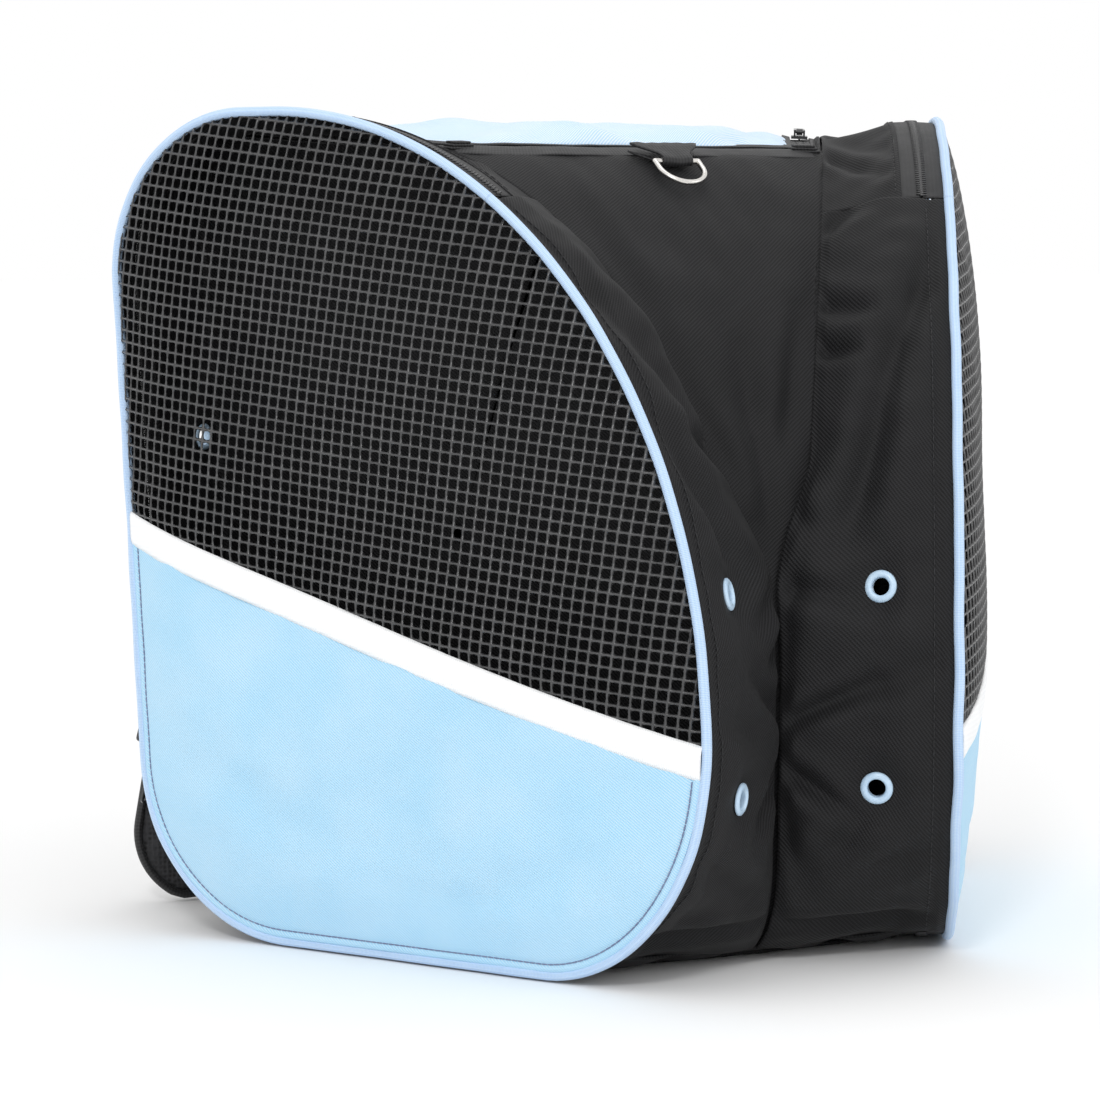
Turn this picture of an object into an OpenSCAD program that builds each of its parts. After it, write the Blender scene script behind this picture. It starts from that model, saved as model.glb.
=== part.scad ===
// Skate backpack: two skate compartments splayed like a V, joined toe to toe at the front,
// with a lidded centre compartment between them and a padded back panel for the wearer.
// X runs across the bag, the toes point to -Y, the wearer's back is at +Y, Z is up.
// Each compartment ("arm") is drawn in its own frame: x from toe to heel, y up, z outward.

/* [Skate compartments] */
// Height of the outer panels
bag_h = 416; // [396:1:436]
// Length of an outer panel from toe to heel
panel_len = 348; // [336:1:360]
// Thickness of a compartment at its base
arm_t = 90; // [84:1:96]
// Loss of thickness from base to top
arm_taper = 25; // [16:1:30]
// Angle of each compartment from the front-to-back line
splay = 30; // [27:1:33]
// How far the outer panel's toe leads the inner wall's toe
toe_lead = 15; // [8:1:20]
// How far the outer panel rises above the inner wall
top_rise = 8; // [6:1:12]
// Outward bulge of the outer panel
bulge = 13; // [6:1:18]

/* [Fabric and trim] */
// Thickness of the backed fabric walls
wall_t = 2; // [1.5:0.1:3]
// Thickness of the base panel
base_t = 3; // [2:0.5:5]
// Radius of the piping
piping_r = 2.5; // [2:0.1:3]
// Width of the tape stripe across the outer panel
stripe_w = 14; // [10:1:20]
// Outer radius of an eyelet
eyelet_r = 8; // [7:0.5:9]
// Radius of an eyelet's hole
eyelet_hole_r = 4.35; // [3.5:0.05:5]

/* [Zippers] */
// Width of one half of the side zipper, tape and teeth
tape_w = 10; // [9:0.5:12]
// Space between the two halves, for the slider's post
zip_gap = 1.6; // [1.4:0.1:2]
// Length of a slider
slider_len = 12; // [10:1:14]
// Length of a pull tab
pull_len = 26; // [20:1:30]

/* [Lid and hardware] */
// Crown of the lid above its edge
lid_crown = 10; // [8:1:18]
// Inside width of the D-ring
ring_w = 22; // [18:1:26]
// Wire radius of the D-ring
wire_r = 1.4; // [1.2:0.1:1.8]

/* [Carrying] */
// Thickness of the back pad
pad_t = 13; // [8:1:16]
// Width of a shoulder strap's padding
strap_w = 60; // [50:1:66]
// Thickness of a shoulder strap's padding
strap_t = 12; // [8:1:14]
// Distance that a strap bows away from the back pad
strap_bow = 20; // [10:1:26]

/* [Hidden] */

// clearances
gap = 0.3;          // between pieces that are sewn together
loose = 0.6;        // round a slider
fold_gap = 3;       // along the fold line of a door

// outline of the outer panel, from the toe's extreme (x = 0) and the ground (y = 0)
top_x = 249;        // where the toe curve reaches the top
toe_y = 117;        // height of the toe's extreme
heel_foot_x = 333;  // heel edge at its lower end
heel_top_r = 80;
heel_foot_r = 90;
toe_foot = [90, 114];
// the same corners on the inner wall
wall_heel_top_r = 20;
wall_heel_foot_r = 45;
wall_toe_foot = [32, 45];
heel_lean = 3.528;  // lean of the heel edge from upright
hinge_top_a = 121;  // end of the side zipper on the toe curve
hinge_foot_a = -110; // end of the side zipper on the toe's foot
taper = arm_taper / bag_h;

// colours
black = [0.16, 0.16, 0.18];
sky = [0.72, 0.88, 0.98];
white = [0.95, 0.95, 0.95];
mesh_grey = [0.30, 0.31, 0.33];
nickel = [0.75, 0.75, 0.78];
tape_black = [0.10, 0.10, 0.11];

// shift that centres the whole bag on the origin
front_y = -59.9;
back_y = 324.6;
mid_y = (front_y + back_y) / 2;

function mix(a, b, w) = a + (b - a) * w;
function arc(c, r, a0, a1, n) =
    [for (i = [0:n]) let (a = mix(a0, a1, i / n)) [c[0] + r[0] * cos(a), c[1] + r[1] * sin(a)]];
function drop_ends(p) = [for (i = [1:len(p) - 2]) p[i]];
function toward(a, b, d) = a + (b - a) * d / norm(b - a);
// The same run of points with d cut off each end
function trimmed(p, d) = let (m = len(p) - 1)
    concat([toward(p[0], p[1], d)], drop_ends(p), [toward(p[m], p[m - 1], d)]);

// Edges of a compartment at depth w (0 at the outer panel, 1 at the inner wall), inset by k
function toe_foot_arc(w, k, a0, a1, n) =
    let (r = mix(toe_foot, wall_toe_foot, w))
    arc([toe_lead * w + r[0], base_t + r[1]], [r[0] - k, r[1] - k], a0, a1, n);
function toe_arc(w, k, a0, a1, n) =
    arc([top_x, toe_y], [top_x - toe_lead * w - k, bag_h - toe_y - top_rise * w - k], a0, a1, n);
function heel_top_arc(w, k, a0, n) =
    let (r = mix(heel_top_r, wall_heel_top_r, w))
    arc([panel_len - r, bag_h - top_rise * w - r], [r - k, r - k], a0, -heel_lean, n);
function heel_foot_arc(w, k, n) =
    let (r = mix(heel_foot_r, wall_heel_foot_r, w))
    arc([heel_foot_x - r, base_t + r], [r - k, r - k], -heel_lean, -90, n);
function door_edge(w, k) = concat(toe_arc(w, k, hinge_top_a, 90, 5), heel_top_arc(w, k, 90, 8),
    heel_foot_arc(w, k, 12), toe_foot_arc(w, k, -90, hinge_foot_a, 2));
function toe_edge(w, k) = concat(toe_foot_arc(w, k, hinge_foot_a, -180, 5),
    toe_arc(w, k, 180, hinge_top_a, 9));
function outline(w, k) = concat(door_edge(w, k), drop_ends(toe_edge(w, k)));

// Inner wall's plane, and points of a compartment in the bag's frame
function wall_n(y) = taper * y;
function bag_xy(x, n) =
    [(x - toe_lead) * sin(splay) + n * cos(splay), (x - toe_lead) * cos(splay) - n * sin(splay) - mid_y];
function bag_point(p, n) = let (q = bag_xy(p[0], n)) [q[0], q[1], p[1]];

module in_arm(side) {
    on_side(side) translate([0, -mid_y, 0]) rotate([0, 0, 90 - splay]) rotate([90, 0, 0])
        translate([-toe_lead, 0, 0]) children();
}

module on_side(side) {
    if (side < 0) mirror([1, 0, 0]) children();
    else children();
}

// Closed sheet between two equal grids of points
module sheet(a, b) {
    m = len(a);
    n = len(a[0]);
    turned = cross(a[1][0] - a[0][0], a[0][1] - a[0][0]) * (b[0][0] - a[0][0]) > 0;
    function at(layer, i, j) = (layer * m + i) * n + j;
    function quad(p, q, r, s) = [[p, q, r], [p, r, s]];
    faces = concat(
        [for (i = [0:m - 2], j = [0:n - 2])
            each quad(at(0, i, j), at(0, i, j + 1), at(0, i + 1, j + 1), at(0, i + 1, j))],
        [for (i = [0:m - 2], j = [0:n - 2])
            each quad(at(1, i, j), at(1, i + 1, j), at(1, i + 1, j + 1), at(1, i, j + 1))],
        [for (j = [0:n - 2])
            each quad(at(0, 0, j), at(1, 0, j), at(1, 0, j + 1), at(0, 0, j + 1))],
        [for (j = [0:n - 2])
            each quad(at(0, m - 1, j), at(0, m - 1, j + 1), at(1, m - 1, j + 1), at(1, m - 1, j))],
        [for (i = [0:m - 2])
            each quad(at(0, i, 0), at(0, i + 1, 0), at(1, i + 1, 0), at(1, i, 0))],
        [for (i = [0:m - 2])
            each quad(at(0, i, n - 1), at(1, i, n - 1), at(1, i + 1, n - 1), at(0, i + 1, n - 1))]);
    polyhedron([for (g = [a, b], row = g) each row],
        [for (f = faces) turned ? f : [f[2], f[1], f[0]]]);
}

// Round cord along a flat run of points at depth n in a compartment's frame
module cord(path, n, r) {
    sides = 8;
    last = len(path) - 1;
    function side_dir(i) =
        let (d = path[min(i + 1, last)] - path[max(i - 1, 0)]) [d[1], -d[0]] / norm(d);
    rings = [for (i = [0:last]) [for (s = [0:sides - 1])
        let (a = 360 * s / sides, p = path[i] + side_dir(i) * r * cos(a)) [p[0], p[1], n + r * sin(a)]]];
    polyhedron([for (g = rings) each g], concat(
        [[for (s = [0:sides - 1]) s]],
        [[for (s = [sides - 1:-1:0]) last * sides + s]],
        [for (i = [0:last - 1], s = [0:sides - 1]) let (t = (s + 1) % sides)
            [i * sides + s, (i + 1) * sides + s, (i + 1) * sides + t, i * sides + t]]));
}

// ---- outer panels ----

// Whole outer panel as one dished sheet, before it is divided
module panel_skin() {
    rim = outline(0, piping_r + gap);
    count = len(rim);
    centre = [185, 210];
    steps = [1, 0.8, 0.58, 0.32];
    function dish(s) = arm_t + bulge * (1 - s * s);
    rings = [for (drop = [0, wall_t], s = steps) [for (p = rim)
        let (q = centre + (p - centre) * s) [q[0], q[1], dish(s) - drop]]];
    hubs = [[centre[0], centre[1], dish(0)], [centre[0], centre[1], dish(0) - wall_t]];
    levels = len(steps);
    hub = 2 * levels * count;
    function at(ring, i) = ring * count + i % count;
    faces = concat(
        [for (r = [0:levels - 2], i = [0:count - 1])
            each [[at(r, i), at(r, i + 1), at(r + 1, i + 1)], [at(r, i), at(r + 1, i + 1), at(r + 1, i)]]],
        [for (i = [0:count - 1]) [at(levels - 1, i), at(levels - 1, i + 1), hub]],
        [for (r = [levels:2 * levels - 2], i = [0:count - 1])
            each [[at(r, i), at(r + 1, i), at(r + 1, i + 1)], [at(r, i), at(r + 1, i + 1), at(r, i + 1)]]],
        [for (i = [0:count - 1]) [at(2 * levels - 1, i + 1), at(2 * levels - 1, i), hub + 1]],
        [for (i = [0:count - 1])
            each [[at(0, i + 1), at(0, i), at(levels, i)], [at(0, i + 1), at(levels, i), at(levels, i + 1)]]]);
    polyhedron(concat([for (g = rings) each g], hubs), faces);
}

// Fold line of the door, from the foot to the top end of the side zipper
fold_foot = toe_foot_arc(0, 0, hinge_foot_a, hinge_foot_a, 1)[0];
fold_top = toe_arc(0, 0, hinge_top_a, hinge_top_a, 1)[0];
fold_dir = (fold_top - fold_foot) / norm(fold_top - fold_foot);
fold_out = [fold_dir[1], -fold_dir[0]];
reach = 480;

// Half of the panel's plane on the heel side (1) or the toe side (-1) of the fold
module beside_fold(way) {
    near = fold_out * way * fold_gap / 2;
    far = fold_out * way * reach;
    foot = fold_foot - fold_dir * reach / 4;
    top = fold_top + fold_dir * reach / 4;
    polygon([foot + near, top + near, top + far, foot + far]);
}

// Lines across the panel: height of the stripe's lower edge at x
stripe_slope = 0.281;
function stripe_y(x) = 104 + stripe_slope * x;
stripe_rise = stripe_w * sqrt(1 + stripe_slope * stripe_slope);

module above_stripe() {
    lift = stripe_rise + gap;
    polygon([[-30, stripe_y(-30) + lift], [panel_len + 30, stripe_y(panel_len + 30) + lift],
        [panel_len + 30, reach], [-30, reach]]);
}

module on_stripe() {
    polygon([for (e = [[-30, 0], [panel_len + 30, 0], [panel_len + 30, stripe_rise], [-30, stripe_rise]])
        [e[0], stripe_y(e[0]) + e[1]]]);
}

module below_stripe() {
    polygon([[-30, -30], [panel_len + 30, -30],
        [panel_len + 30, stripe_y(panel_len + 30) - gap], [-30, stripe_y(-30) - gap]]);
}

// Piece of the outer panel: way picks the door or the fixed toe part, the child is its band
module panel_piece(side, way) {
    in_arm(side) intersection() {
        panel_skin();
        linear_extrude(arm_t + 2 * bulge) intersection() {
            beside_fold(way);
            children();
        }
    }
}

module door_mesh(side) { color(mesh_grey) panel_piece(side, 1) above_stripe(); }
module door_stripe(side) { color(white) panel_piece(side, 1) on_stripe(); }
module door_lower(side) { color(sky) panel_piece(side, 1) below_stripe(); }
module toe_mesh(side) { color(mesh_grey) panel_piece(side, -1) above_stripe(); }
module toe_stripe(side) { color(white) panel_piece(side, -1) on_stripe(); }
module toe_lower(side) { color(sky) panel_piece(side, -1) below_stripe(); }

// Piping stands round the panel's edge and is cut at the fold
piping_n = arm_t - 1;
edge_n = piping_n - piping_r - gap;   // outer edge of the fabric under the piping

module door_piping(side) {
    color(sky) in_arm(side) cord(trimmed(door_edge(0, 0), fold_gap / 2), piping_n, piping_r);
}

module toe_piping(side) {
    color(sky) in_arm(side) cord(trimmed(toe_edge(0, 0), fold_gap / 2), piping_n, piping_r);
}

// ---- side zippers ----

door_tape_n = edge_n - tape_w;                       // inner edge of the door's half
rim_tape_n = door_tape_n - zip_gap - tape_w;         // inner edge of the fixed half
chain_n = door_tape_n - zip_gap / 2;                 // middle of the zipper
tooth_w = 2.4;
tooth_rise = 0.8;

// Ring of fabric along the zipper's run, from inset k0 to k1
module zip_band(k0, k1) {
    near = trimmed(door_edge(0, k0), fold_gap / 2);
    far = trimmed(door_edge(0, k1), fold_gap / 2);
    polygon(concat(near, [for (i = [len(far) - 1:-1:0]) far[i]]));
}

// Half of the zipper: flat tape from depth n, and its row of teeth on the slider's side
module zip_half(n, teeth_first) {
    flat_n = teeth_first ? n + tooth_w : n;
    teeth_n = teeth_first ? n : n + tape_w - tooth_w;
    translate([0, 0, flat_n]) linear_extrude(tape_w - tooth_w) zip_band(0, wall_t);
    translate([0, 0, teeth_n]) linear_extrude(tooth_w) zip_band(-tooth_rise, wall_t);
}

module door_tape(side) { color(tape_black) in_arm(side) zip_half(door_tape_n, true); }
module zip_tape(side) { color(tape_black) in_arm(side) zip_half(rim_tape_n, false); }

// Slider in its own frame: travels along +X, its face is +Z, the tape lies at Z = -wall_t..0
slider_w = 9;
plate_t = 1.5;
post_t = 1;
pivot_r = 0.8;
pivot_z = tooth_rise + loose + plate_t + 2.2;
module slider() {
    color(tape_black) {
        translate([-slider_len / 2, -slider_w / 2, tooth_rise + loose])
            cube([slider_len, slider_w, plate_t]);
        translate([-slider_len / 2, -slider_w / 2, -wall_t - loose - plate_t])
            cube([slider_len, slider_w, plate_t]);
        translate([-2, -post_t / 2, -wall_t - loose - plate_t / 2])
            cube([4, post_t, wall_t + tooth_rise + 2 * loose + plate_t]);
        for (s = [-1, 1]) translate([-1.4, s * 2.6 - 0.5, tooth_rise + loose + plate_t / 2])
            cube([2.8, 1, plate_t / 2 + 3.2]);
        translate([0, -3.1, pivot_z]) rotate([-90, 0, 0]) cylinder(h = 6.2, r = pivot_r, $fn = 24);
    }
}

// Pull tab, hung from the slider's pivot and reaching along -X
pull_w = 6;
pull_t = 1.4;
module pull() {
    color(tape_black) translate([0, 0, pivot_z]) difference() {
        union() {
            translate([0, 1.7, 0]) rotate([90, 0, 0]) cylinder(h = 3.4, r = 1.8, $fn = 24);
            translate([-6, -1.7, -pull_t / 2]) cube([6, 3.4, pull_t]);
            translate([-pull_len + pull_w / 2, -pull_w / 2, -pull_t / 2])
                cube([pull_len - pull_w / 2 - 5, pull_w, pull_t]);
            translate([-pull_len + pull_w / 2, 0, -pull_t / 2])
                cylinder(h = pull_t, r = pull_w / 2, $fn = 32);
        }
        translate([0, 3, 0]) rotate([90, 0, 0]) cylinder(h = 6, r = pivot_r + 0.35, $fn = 24);
        for (x = [-pull_len + pull_w / 2, -pull_len + pull_w / 2 + 6])
            translate([x, 0, -pull_t]) cylinder(h = 2 * pull_t, r = 1.5, $fn = 24);
    }
}

// Places on the heel edge: the upper slider on the straight, the lower one where the corner starts
heel_line_foot = heel_foot_arc(0, 0, 12)[0];
heel_dir = [sin(heel_lean), cos(heel_lean)];
upper_slider_up = 32;
module at_heel(side, up) {
    p = heel_line_foot + heel_dir * up;
    in_arm(side) translate([p[0], p[1], chain_n]) rotate([0, 0, 90 - heel_lean]) rotate([90, 0, 0])
        children();
}

module upper_slider(side) { at_heel(side, upper_slider_up) slider(); }
module lower_slider(side) { at_heel(side, 0) slider(); }
// A side pull hangs a little away from its tape
pull_hang = 20;
module hanging_pull() {
    translate([0, 0, pivot_z]) rotate([0, pull_hang, 0]) translate([0, 0, -pivot_z]) pull();
}
module upper_pull(side) { at_heel(side, upper_slider_up) hanging_pull(); }
module lower_pull(side) { at_heel(side, 0) hanging_pull(); }

// ---- gussets and walls ----

gusset_n = rim_tape_n - gap;      // outer edge of the zip gusset
wall_foot_n = wall_t + 2 * gap;   // inner edge, on the divider's face

// Rows of a gusset from the outer edge to the inner wall, for the edge function's points
function gusset_row(edge, w, n0) = [for (p = edge) [p[0], p[1], mix(n0, wall_n(p[1]) + wall_foot_n, w)]];

module zip_gusset(side) {
    steps = [0, 0.5, 1];
    color(black) in_arm(side) difference() {
        sheet([for (w = steps) gusset_row(trimmed(door_edge(w, 0), gap), w, gusset_n)],
            [for (w = steps) gusset_row(trimmed(door_edge(w, wall_t), gap), w, gusset_n)]);
        for (e = heel_eyelets) at_heel_eyelet(e) eyelet_hole();
    }
}

module toe_gusset(side) {
    steps = [0, 0.5, 1];
    function face(k) = concat([[for (p = trimmed(toe_edge(0, k), gap)) [p[0], p[1], edge_n]]],
        [for (w = steps) gusset_row(trimmed(toe_edge(w, k), gap), w, gusset_n)]);
    color(black) in_arm(side) difference() {
        sheet(face(0), face(wall_t));
        for (e = toe_eyelets) at_toe_eyelet(e) eyelet_hole();
    }
}

module divider(side) {
    color(black) in_arm(side) rotate([atan(taper), 0, 0]) translate([0, 0, gap])
        linear_extrude(wall_t) polygon(outline(1, 0));
}

// Eyelets: [height, depth into the gusset]
toe_eyelets = [[90, 0.25], [187, 0.25]];
heel_eyelets = [[250, 0.74], [140, 0.74]];

function toe_x(w, y) = y > toe_y
    ? top_x - (top_x - toe_lead * w) * sqrt(1 - pow((y - toe_y) / (bag_h - toe_y - top_rise * w), 2))
    : let (r = mix(toe_foot, wall_toe_foot, w), d = max(0, base_t + r[1] - y) / r[1])
        toe_lead * w + r[0] * (1 - sqrt(1 - d * d));
function heel_x(w, y) =
    let (a = heel_foot_arc(w, 0, 12)[0], b = heel_top_arc(w, 0, 90, 8)[8])
    mix(a[0], b[0], (y - a[1]) / (b[1] - a[1]));

module at_toe_eyelet(e) {
    n = mix(gusset_n, wall_n(e[0]) + wall_foot_n, e[1]);
    slant = atan(toe_lead / (gusset_n - wall_n(e[0]) - wall_foot_n));
    tilt = atan((toe_x(e[1], e[0] + 4) - toe_x(e[1], e[0] - 4)) / 8);
    translate([toe_x(e[1], e[0]), e[0], n]) rotate([0, 0, -tilt]) rotate([0, -90 - slant, 0]) children();
}

module at_heel_eyelet(e) {
    n = mix(gusset_n, wall_n(e[0]) + wall_foot_n, e[1]);
    translate([heel_x(e[1], e[0]), e[0], n]) rotate([0, 0, -heel_lean]) rotate([0, 90, 0]) children();
}

module eyelet_hole() {
    translate([0, 0, -6]) cylinder(h = 12, r = eyelet_hole_r + 1.3, $fn = 48);
}

module eyelet() {
    play = 0.8;
    rotate_extrude($fn = 48) {
        translate([eyelet_hole_r, play]) square([eyelet_r - eyelet_hole_r, 1]);
        translate([eyelet_hole_r, -wall_t - 2 * play]) square([0.9, wall_t + 3 * play + 0.5]);
        translate([eyelet_hole_r, -wall_t - 2 * play - 1]) square([eyelet_r - 1 - eyelet_hole_r, 1.1]);
    }
}

module eyelets(side) {
    color(sky) in_arm(side) {
        for (e = toe_eyelets) at_toe_eyelet(e) eyelet();
        for (e = heel_eyelets) at_heel_eyelet(e) eyelet();
    }
}

// ---- centre compartment ----

// Wall across the bag between the two inner walls, along an edge of (x, height) points
function across(edge) = [for (p = edge)
    let (q = bag_point(p, wall_n(p[1]) - gap)) [for (s = [-1, -0.5, 0, 0.5, 1]) [s * q[0], q[1], q[2]]]];

front_top_a = 105;
function front_edge(k) = concat(toe_foot_arc(1, k, -90, -180, 6), toe_arc(1, k, 180, front_top_a, 12));
function back_edge(k) = concat(heel_top_arc(1, k, 84, 6), heel_foot_arc(1, k, 8));

module front_panel() { color(black) sheet(across(front_edge(0)), across(front_edge(wall_t))); }
module back_panel() { color(black) sheet(across(back_edge(0)), across(back_edge(wall_t))); }

// Right half of the base outline, then its mirror image
wall_toe_x = toe_lead + wall_toe_foot[0];
wall_heel_x = heel_foot_x - wall_heel_foot_r;
module base_outline(n_out, n_in, x_in) {
    half = [bag_xy(wall_toe_x + x_in, n_in), bag_xy(toe_foot[0], n_out),
        bag_xy(heel_foot_x - heel_foot_r, n_out), bag_xy(wall_heel_x - x_in, n_in)];
    polygon(concat(half, [for (i = [len(half) - 1:-1:0]) [-half[i][0], half[i][1]]]));
}

module base_panel() {
    color(black) linear_extrude(base_t - gap) base_outline(gusset_n, 0, 0);
}

module base_board() {
    inset = 8;
    half = [bag_xy(wall_toe_x + 2 * inset, -inset / 2), bag_xy(wall_heel_x - inset, -inset / 2)];
    color([0.2, 0.2, 0.2]) translate([0, 0, base_t + gap]) linear_extrude(2)
        polygon(concat(half, [for (i = [1:-1:0]) [-half[i][0], half[i][1]]]));
}

back_face_y = 277.6 - mid_y;
module rounded(w, h, r) {
    hull() for (x = [-w / 2 + r, w / 2 - r], y = [r, h - r]) translate([x, y]) circle(r, $fn = 32);
}

module back_board() {
    color([0.2, 0.2, 0.2]) translate([0, back_face_y - 9, 60]) rotate([90, 0, 0])
        linear_extrude(2) rounded(270, 320, 20);
}

module back_pad() {
    color(black) translate([0, back_face_y + pad_t, 50]) rotate([90, 0, 0])
        linear_extrude(pad_t) rounded(290, 290, 30);
}

// ---- lid ----

// Lid frame: origin on the hinge line at the back, -Y to the front edge, pitched to the front
hinge_p = bag_point([panel_len - wall_heel_top_r, bag_h - top_rise], wall_n(bag_h - top_rise));
front_rim = toe_arc(1, 0, front_top_a, front_top_a, 1)[0];
front_p = bag_point(front_rim, wall_n(front_rim[1]));
lid_pitch = atan((hinge_p[2] - front_p[2]) / (hinge_p[1] - front_p[1]));
lid_len = norm([hinge_p[1] - front_p[1], hinge_p[2] - front_p[2]]);
hinge_half_w = hinge_p[0];
front_half_w = front_p[0];
module in_lid() { translate([0, hinge_p[1], hinge_p[2]]) rotate([lid_pitch, 0, 0]) children(); }

// Half width of the opening at distance y behind its hinge line (y is negative), inset by k
function lid_half_w(y, k) = mix(hinge_half_w, front_half_w, -y / lid_len) - k;
module lid_outline(k, back) {
    front = -lid_len + k + gap;
    polygon([[-lid_half_w(back, k), back], [-lid_half_w(front, k), front],
        [lid_half_w(front, k), front], [lid_half_w(back, k), back]]);
}

rim_tape_w = 8;
lid_tape_k = gap + rim_tape_w + zip_gap;
lid_panel_k = lid_tape_k + rim_tape_w + gap;
hinge_clear = 1;
lid_tape_back = -24;  // the lid's half of the zip ends here, in front of the parked sliders
module u_band(k, width, back) {
    difference() {
        lid_outline(k, back);
        lid_outline(k + width, 1);
    }
}

module rim_tape() {
    flat_w = rim_tape_w - tooth_w;
    color(tape_black) in_lid() translate([0, 0, -wall_t]) {
        linear_extrude(wall_t) u_band(gap, flat_w, -hinge_clear);
        linear_extrude(wall_t + tooth_rise) u_band(gap + flat_w, tooth_w, -hinge_clear);
    }
}

module lid_tape() {
    color(tape_black) in_lid() translate([0, 0, -wall_t]) {
        linear_extrude(wall_t + tooth_rise) u_band(lid_tape_k, tooth_w, lid_tape_back);
        linear_extrude(wall_t) u_band(lid_tape_k + tooth_w, rim_tape_w - tooth_w, lid_tape_back);
    }
}

module lid_panel() {
    rows = 8;
    cols = 12;
    back = -hinge_clear;
    front = -lid_len + lid_panel_k;
    function crown(u, v) = lid_crown * sqrt(sin(180 * v) * sin(180 * u));
    function grid(drop) = [for (i = [0:rows]) let (v = i / rows, y = mix(back, front, v))
        [for (j = [0:cols]) let (u = j / cols)
            [mix(-1, 1, u) * lid_half_w(y, lid_panel_k), y, crown(u, v) - drop]]];
    color(sky) in_lid() sheet(grid(0), grid(wall_t));
}

// Lid sliders sit on the side runs, near the back
side_run_a = atan((hinge_half_w - front_half_w) / lid_len);
lid_slider_y = -14;
module at_lid_side(side) {
    on_side(side) in_lid()
        translate([lid_half_w(lid_slider_y, gap + rim_tape_w + zip_gap / 2), lid_slider_y, 0])
            rotate([0, 0, -90 - side_run_a]) children();
}

module lid_slider(side) { at_lid_side(side) slider(); }
module lid_pull(side) { at_lid_side(side) pull(); }

// ---- hardware on the front ----

ring_x = 9;
ring_lift = 6;      // of the ring above the front panel
ring_slope = 36;    // of the front panel under the ring, below level
ring_foot = bag_point(toe_arc(1, 0, 111.5, 111.5, 1)[0], wall_n(383));
ring_y = ring_foot[1] - ring_lift * sin(ring_slope);
ring_z = ring_foot[2] + ring_lift * cos(ring_slope);
ring_leg = 6;
tab_w = 16;
tab_len = 14;
tab_slope = 25;

// Wire bent into a D: a straight bar on the hinge and a round bow that lies down the slope
module d_ring() {
    straight = ring_w / 2 + wire_r;
    color(nickel) translate([ring_x, ring_y, ring_z]) rotate([ring_slope - 90, 0, 0]) {
        translate([-straight, 0, 0]) rotate([0, 90, 0]) cylinder(h = 2 * straight, r = wire_r, $fn = 32);
        for (s = [-1, 1]) translate([s * straight, 0, 0]) {
            sphere(wire_r, $fn = 32);
            translate([0, 0, -ring_leg]) cylinder(h = ring_leg, r = wire_r, $fn = 32);
        }
        translate([0, 0, -ring_leg]) rotate([90, 0, 0]) rotate([0, 0, 180])
            rotate_extrude(angle = 180, $fn = 64) translate([straight, 0]) circle(wire_r, $fn = 32);
    }
}

module d_ring_tab() {
    inner = wire_r + 0.4;
    web = 1.4;
    color(tape_black) translate([ring_x - tab_w / 2, ring_y, ring_z]) rotate([90, 0, 90])
        linear_extrude(tab_w) difference() {
            union() {
                circle(inner + web, $fn = 48);
                rotate(tab_slope) translate([0, -inner - web]) square([tab_len, 2 * (inner + web)]);
            }
            circle(inner, $fn = 48);
        }
}

// ---- carrying ----

handle_half = 62;
handle_w = 24;
handle_t = 3;
handle_z = 390;
handle_bow = 26;
module grab_handle() {
    steps = 14;
    function run(u, out) = [mix(-handle_half, handle_half, u),
        back_face_y + loose + handle_bow * pow(sin(180 * u), 0.8) + out, handle_z];
    function rows(out) = [for (h = [0, 0.5, 1]) [for (i = [0:steps])
        run(i / steps, out) + [0, 0, h * handle_w]]];
    color(black) sheet(rows(handle_t), rows(0));
}

strap_top = [62, 376];
strap_foot = [193, 4];
strap_steps = 20;
strap_over = 0.12;   // share of the strap that climbs from its seam onto the back pad
// Middle line of a shoulder strap's near face, from the seam (u = 0) to the rounded end (u = 1)
function climb(u) = let (t = min(1, u / strap_over)) t * t * (3 - 2 * t);
function strap_mid(u) = [mix(strap_top[0], strap_foot[0], u + 0.10 * sin(180 * u)),
    back_face_y + 1 + (pad_t + 1) * climb(u) + strap_bow * sin(180 * u), mix(strap_top[1], strap_foot[1], u)];
function strap_half_w(u) = let (end = 0.92) strap_w / 2 * (u < end ? mix(0.82, 1, min(1, 4 * u))
    : sqrt(max(0.03, 1 - pow((u - end) / (1 - end), 2))));

module strap_pad(side) {
    across_dir = [cos(19), 0, sin(19)];
    function rows(out) = [for (s = [-1, -0.5, 0, 0.5, 1]) [for (i = [0:strap_steps]) let (u = i / strap_steps)
        strap_mid(u) + across_dir * s * strap_half_w(u)
            + [0, out * mix(0.35, 1, climb(u)) * (1 - 0.25 * s * s), 0]]];
    color(black) on_side(side) sheet(rows(strap_t), rows(0));
}

lock_w = 30;
lock_l = 24;
lock_p = strap_mid(0.86) + [-6, strap_t + 1.4, 0];
// Ladder-lock buckle: a frame with a cross bar, flat on the strap's outer face
module ladder_lock(side) {
    color(tape_black) on_side(side) translate(lock_p) rotate([0, -19, 0]) rotate([-98, 0, 0])
        difference() {
            translate([-lock_w / 2, -lock_l / 2, 0]) cube([lock_w, lock_l, 3.4]);
            for (y = [-6.2, 6.2]) translate([-lock_w / 2 + 3.5, y - 3.2, -1]) cube([lock_w - 7, 6.4, 6]);
        }
}

web_w = 20;
web_t = 1.4;
module strap_webbing(side) {
    // from under the strap's lower end to the seam at the back panel's foot
    path = [[186, back_face_y + pad_t - 2, 44], [172, back_face_y + 8, 30], [156, back_face_y + 3, 18]];
    function rows(out) = [for (p = path) [p + [0, out, -web_w / 2], p + [0, out, web_w / 2]]];
    color(tape_black) on_side(side) sheet(rows(web_t), rows(0));
}

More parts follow.
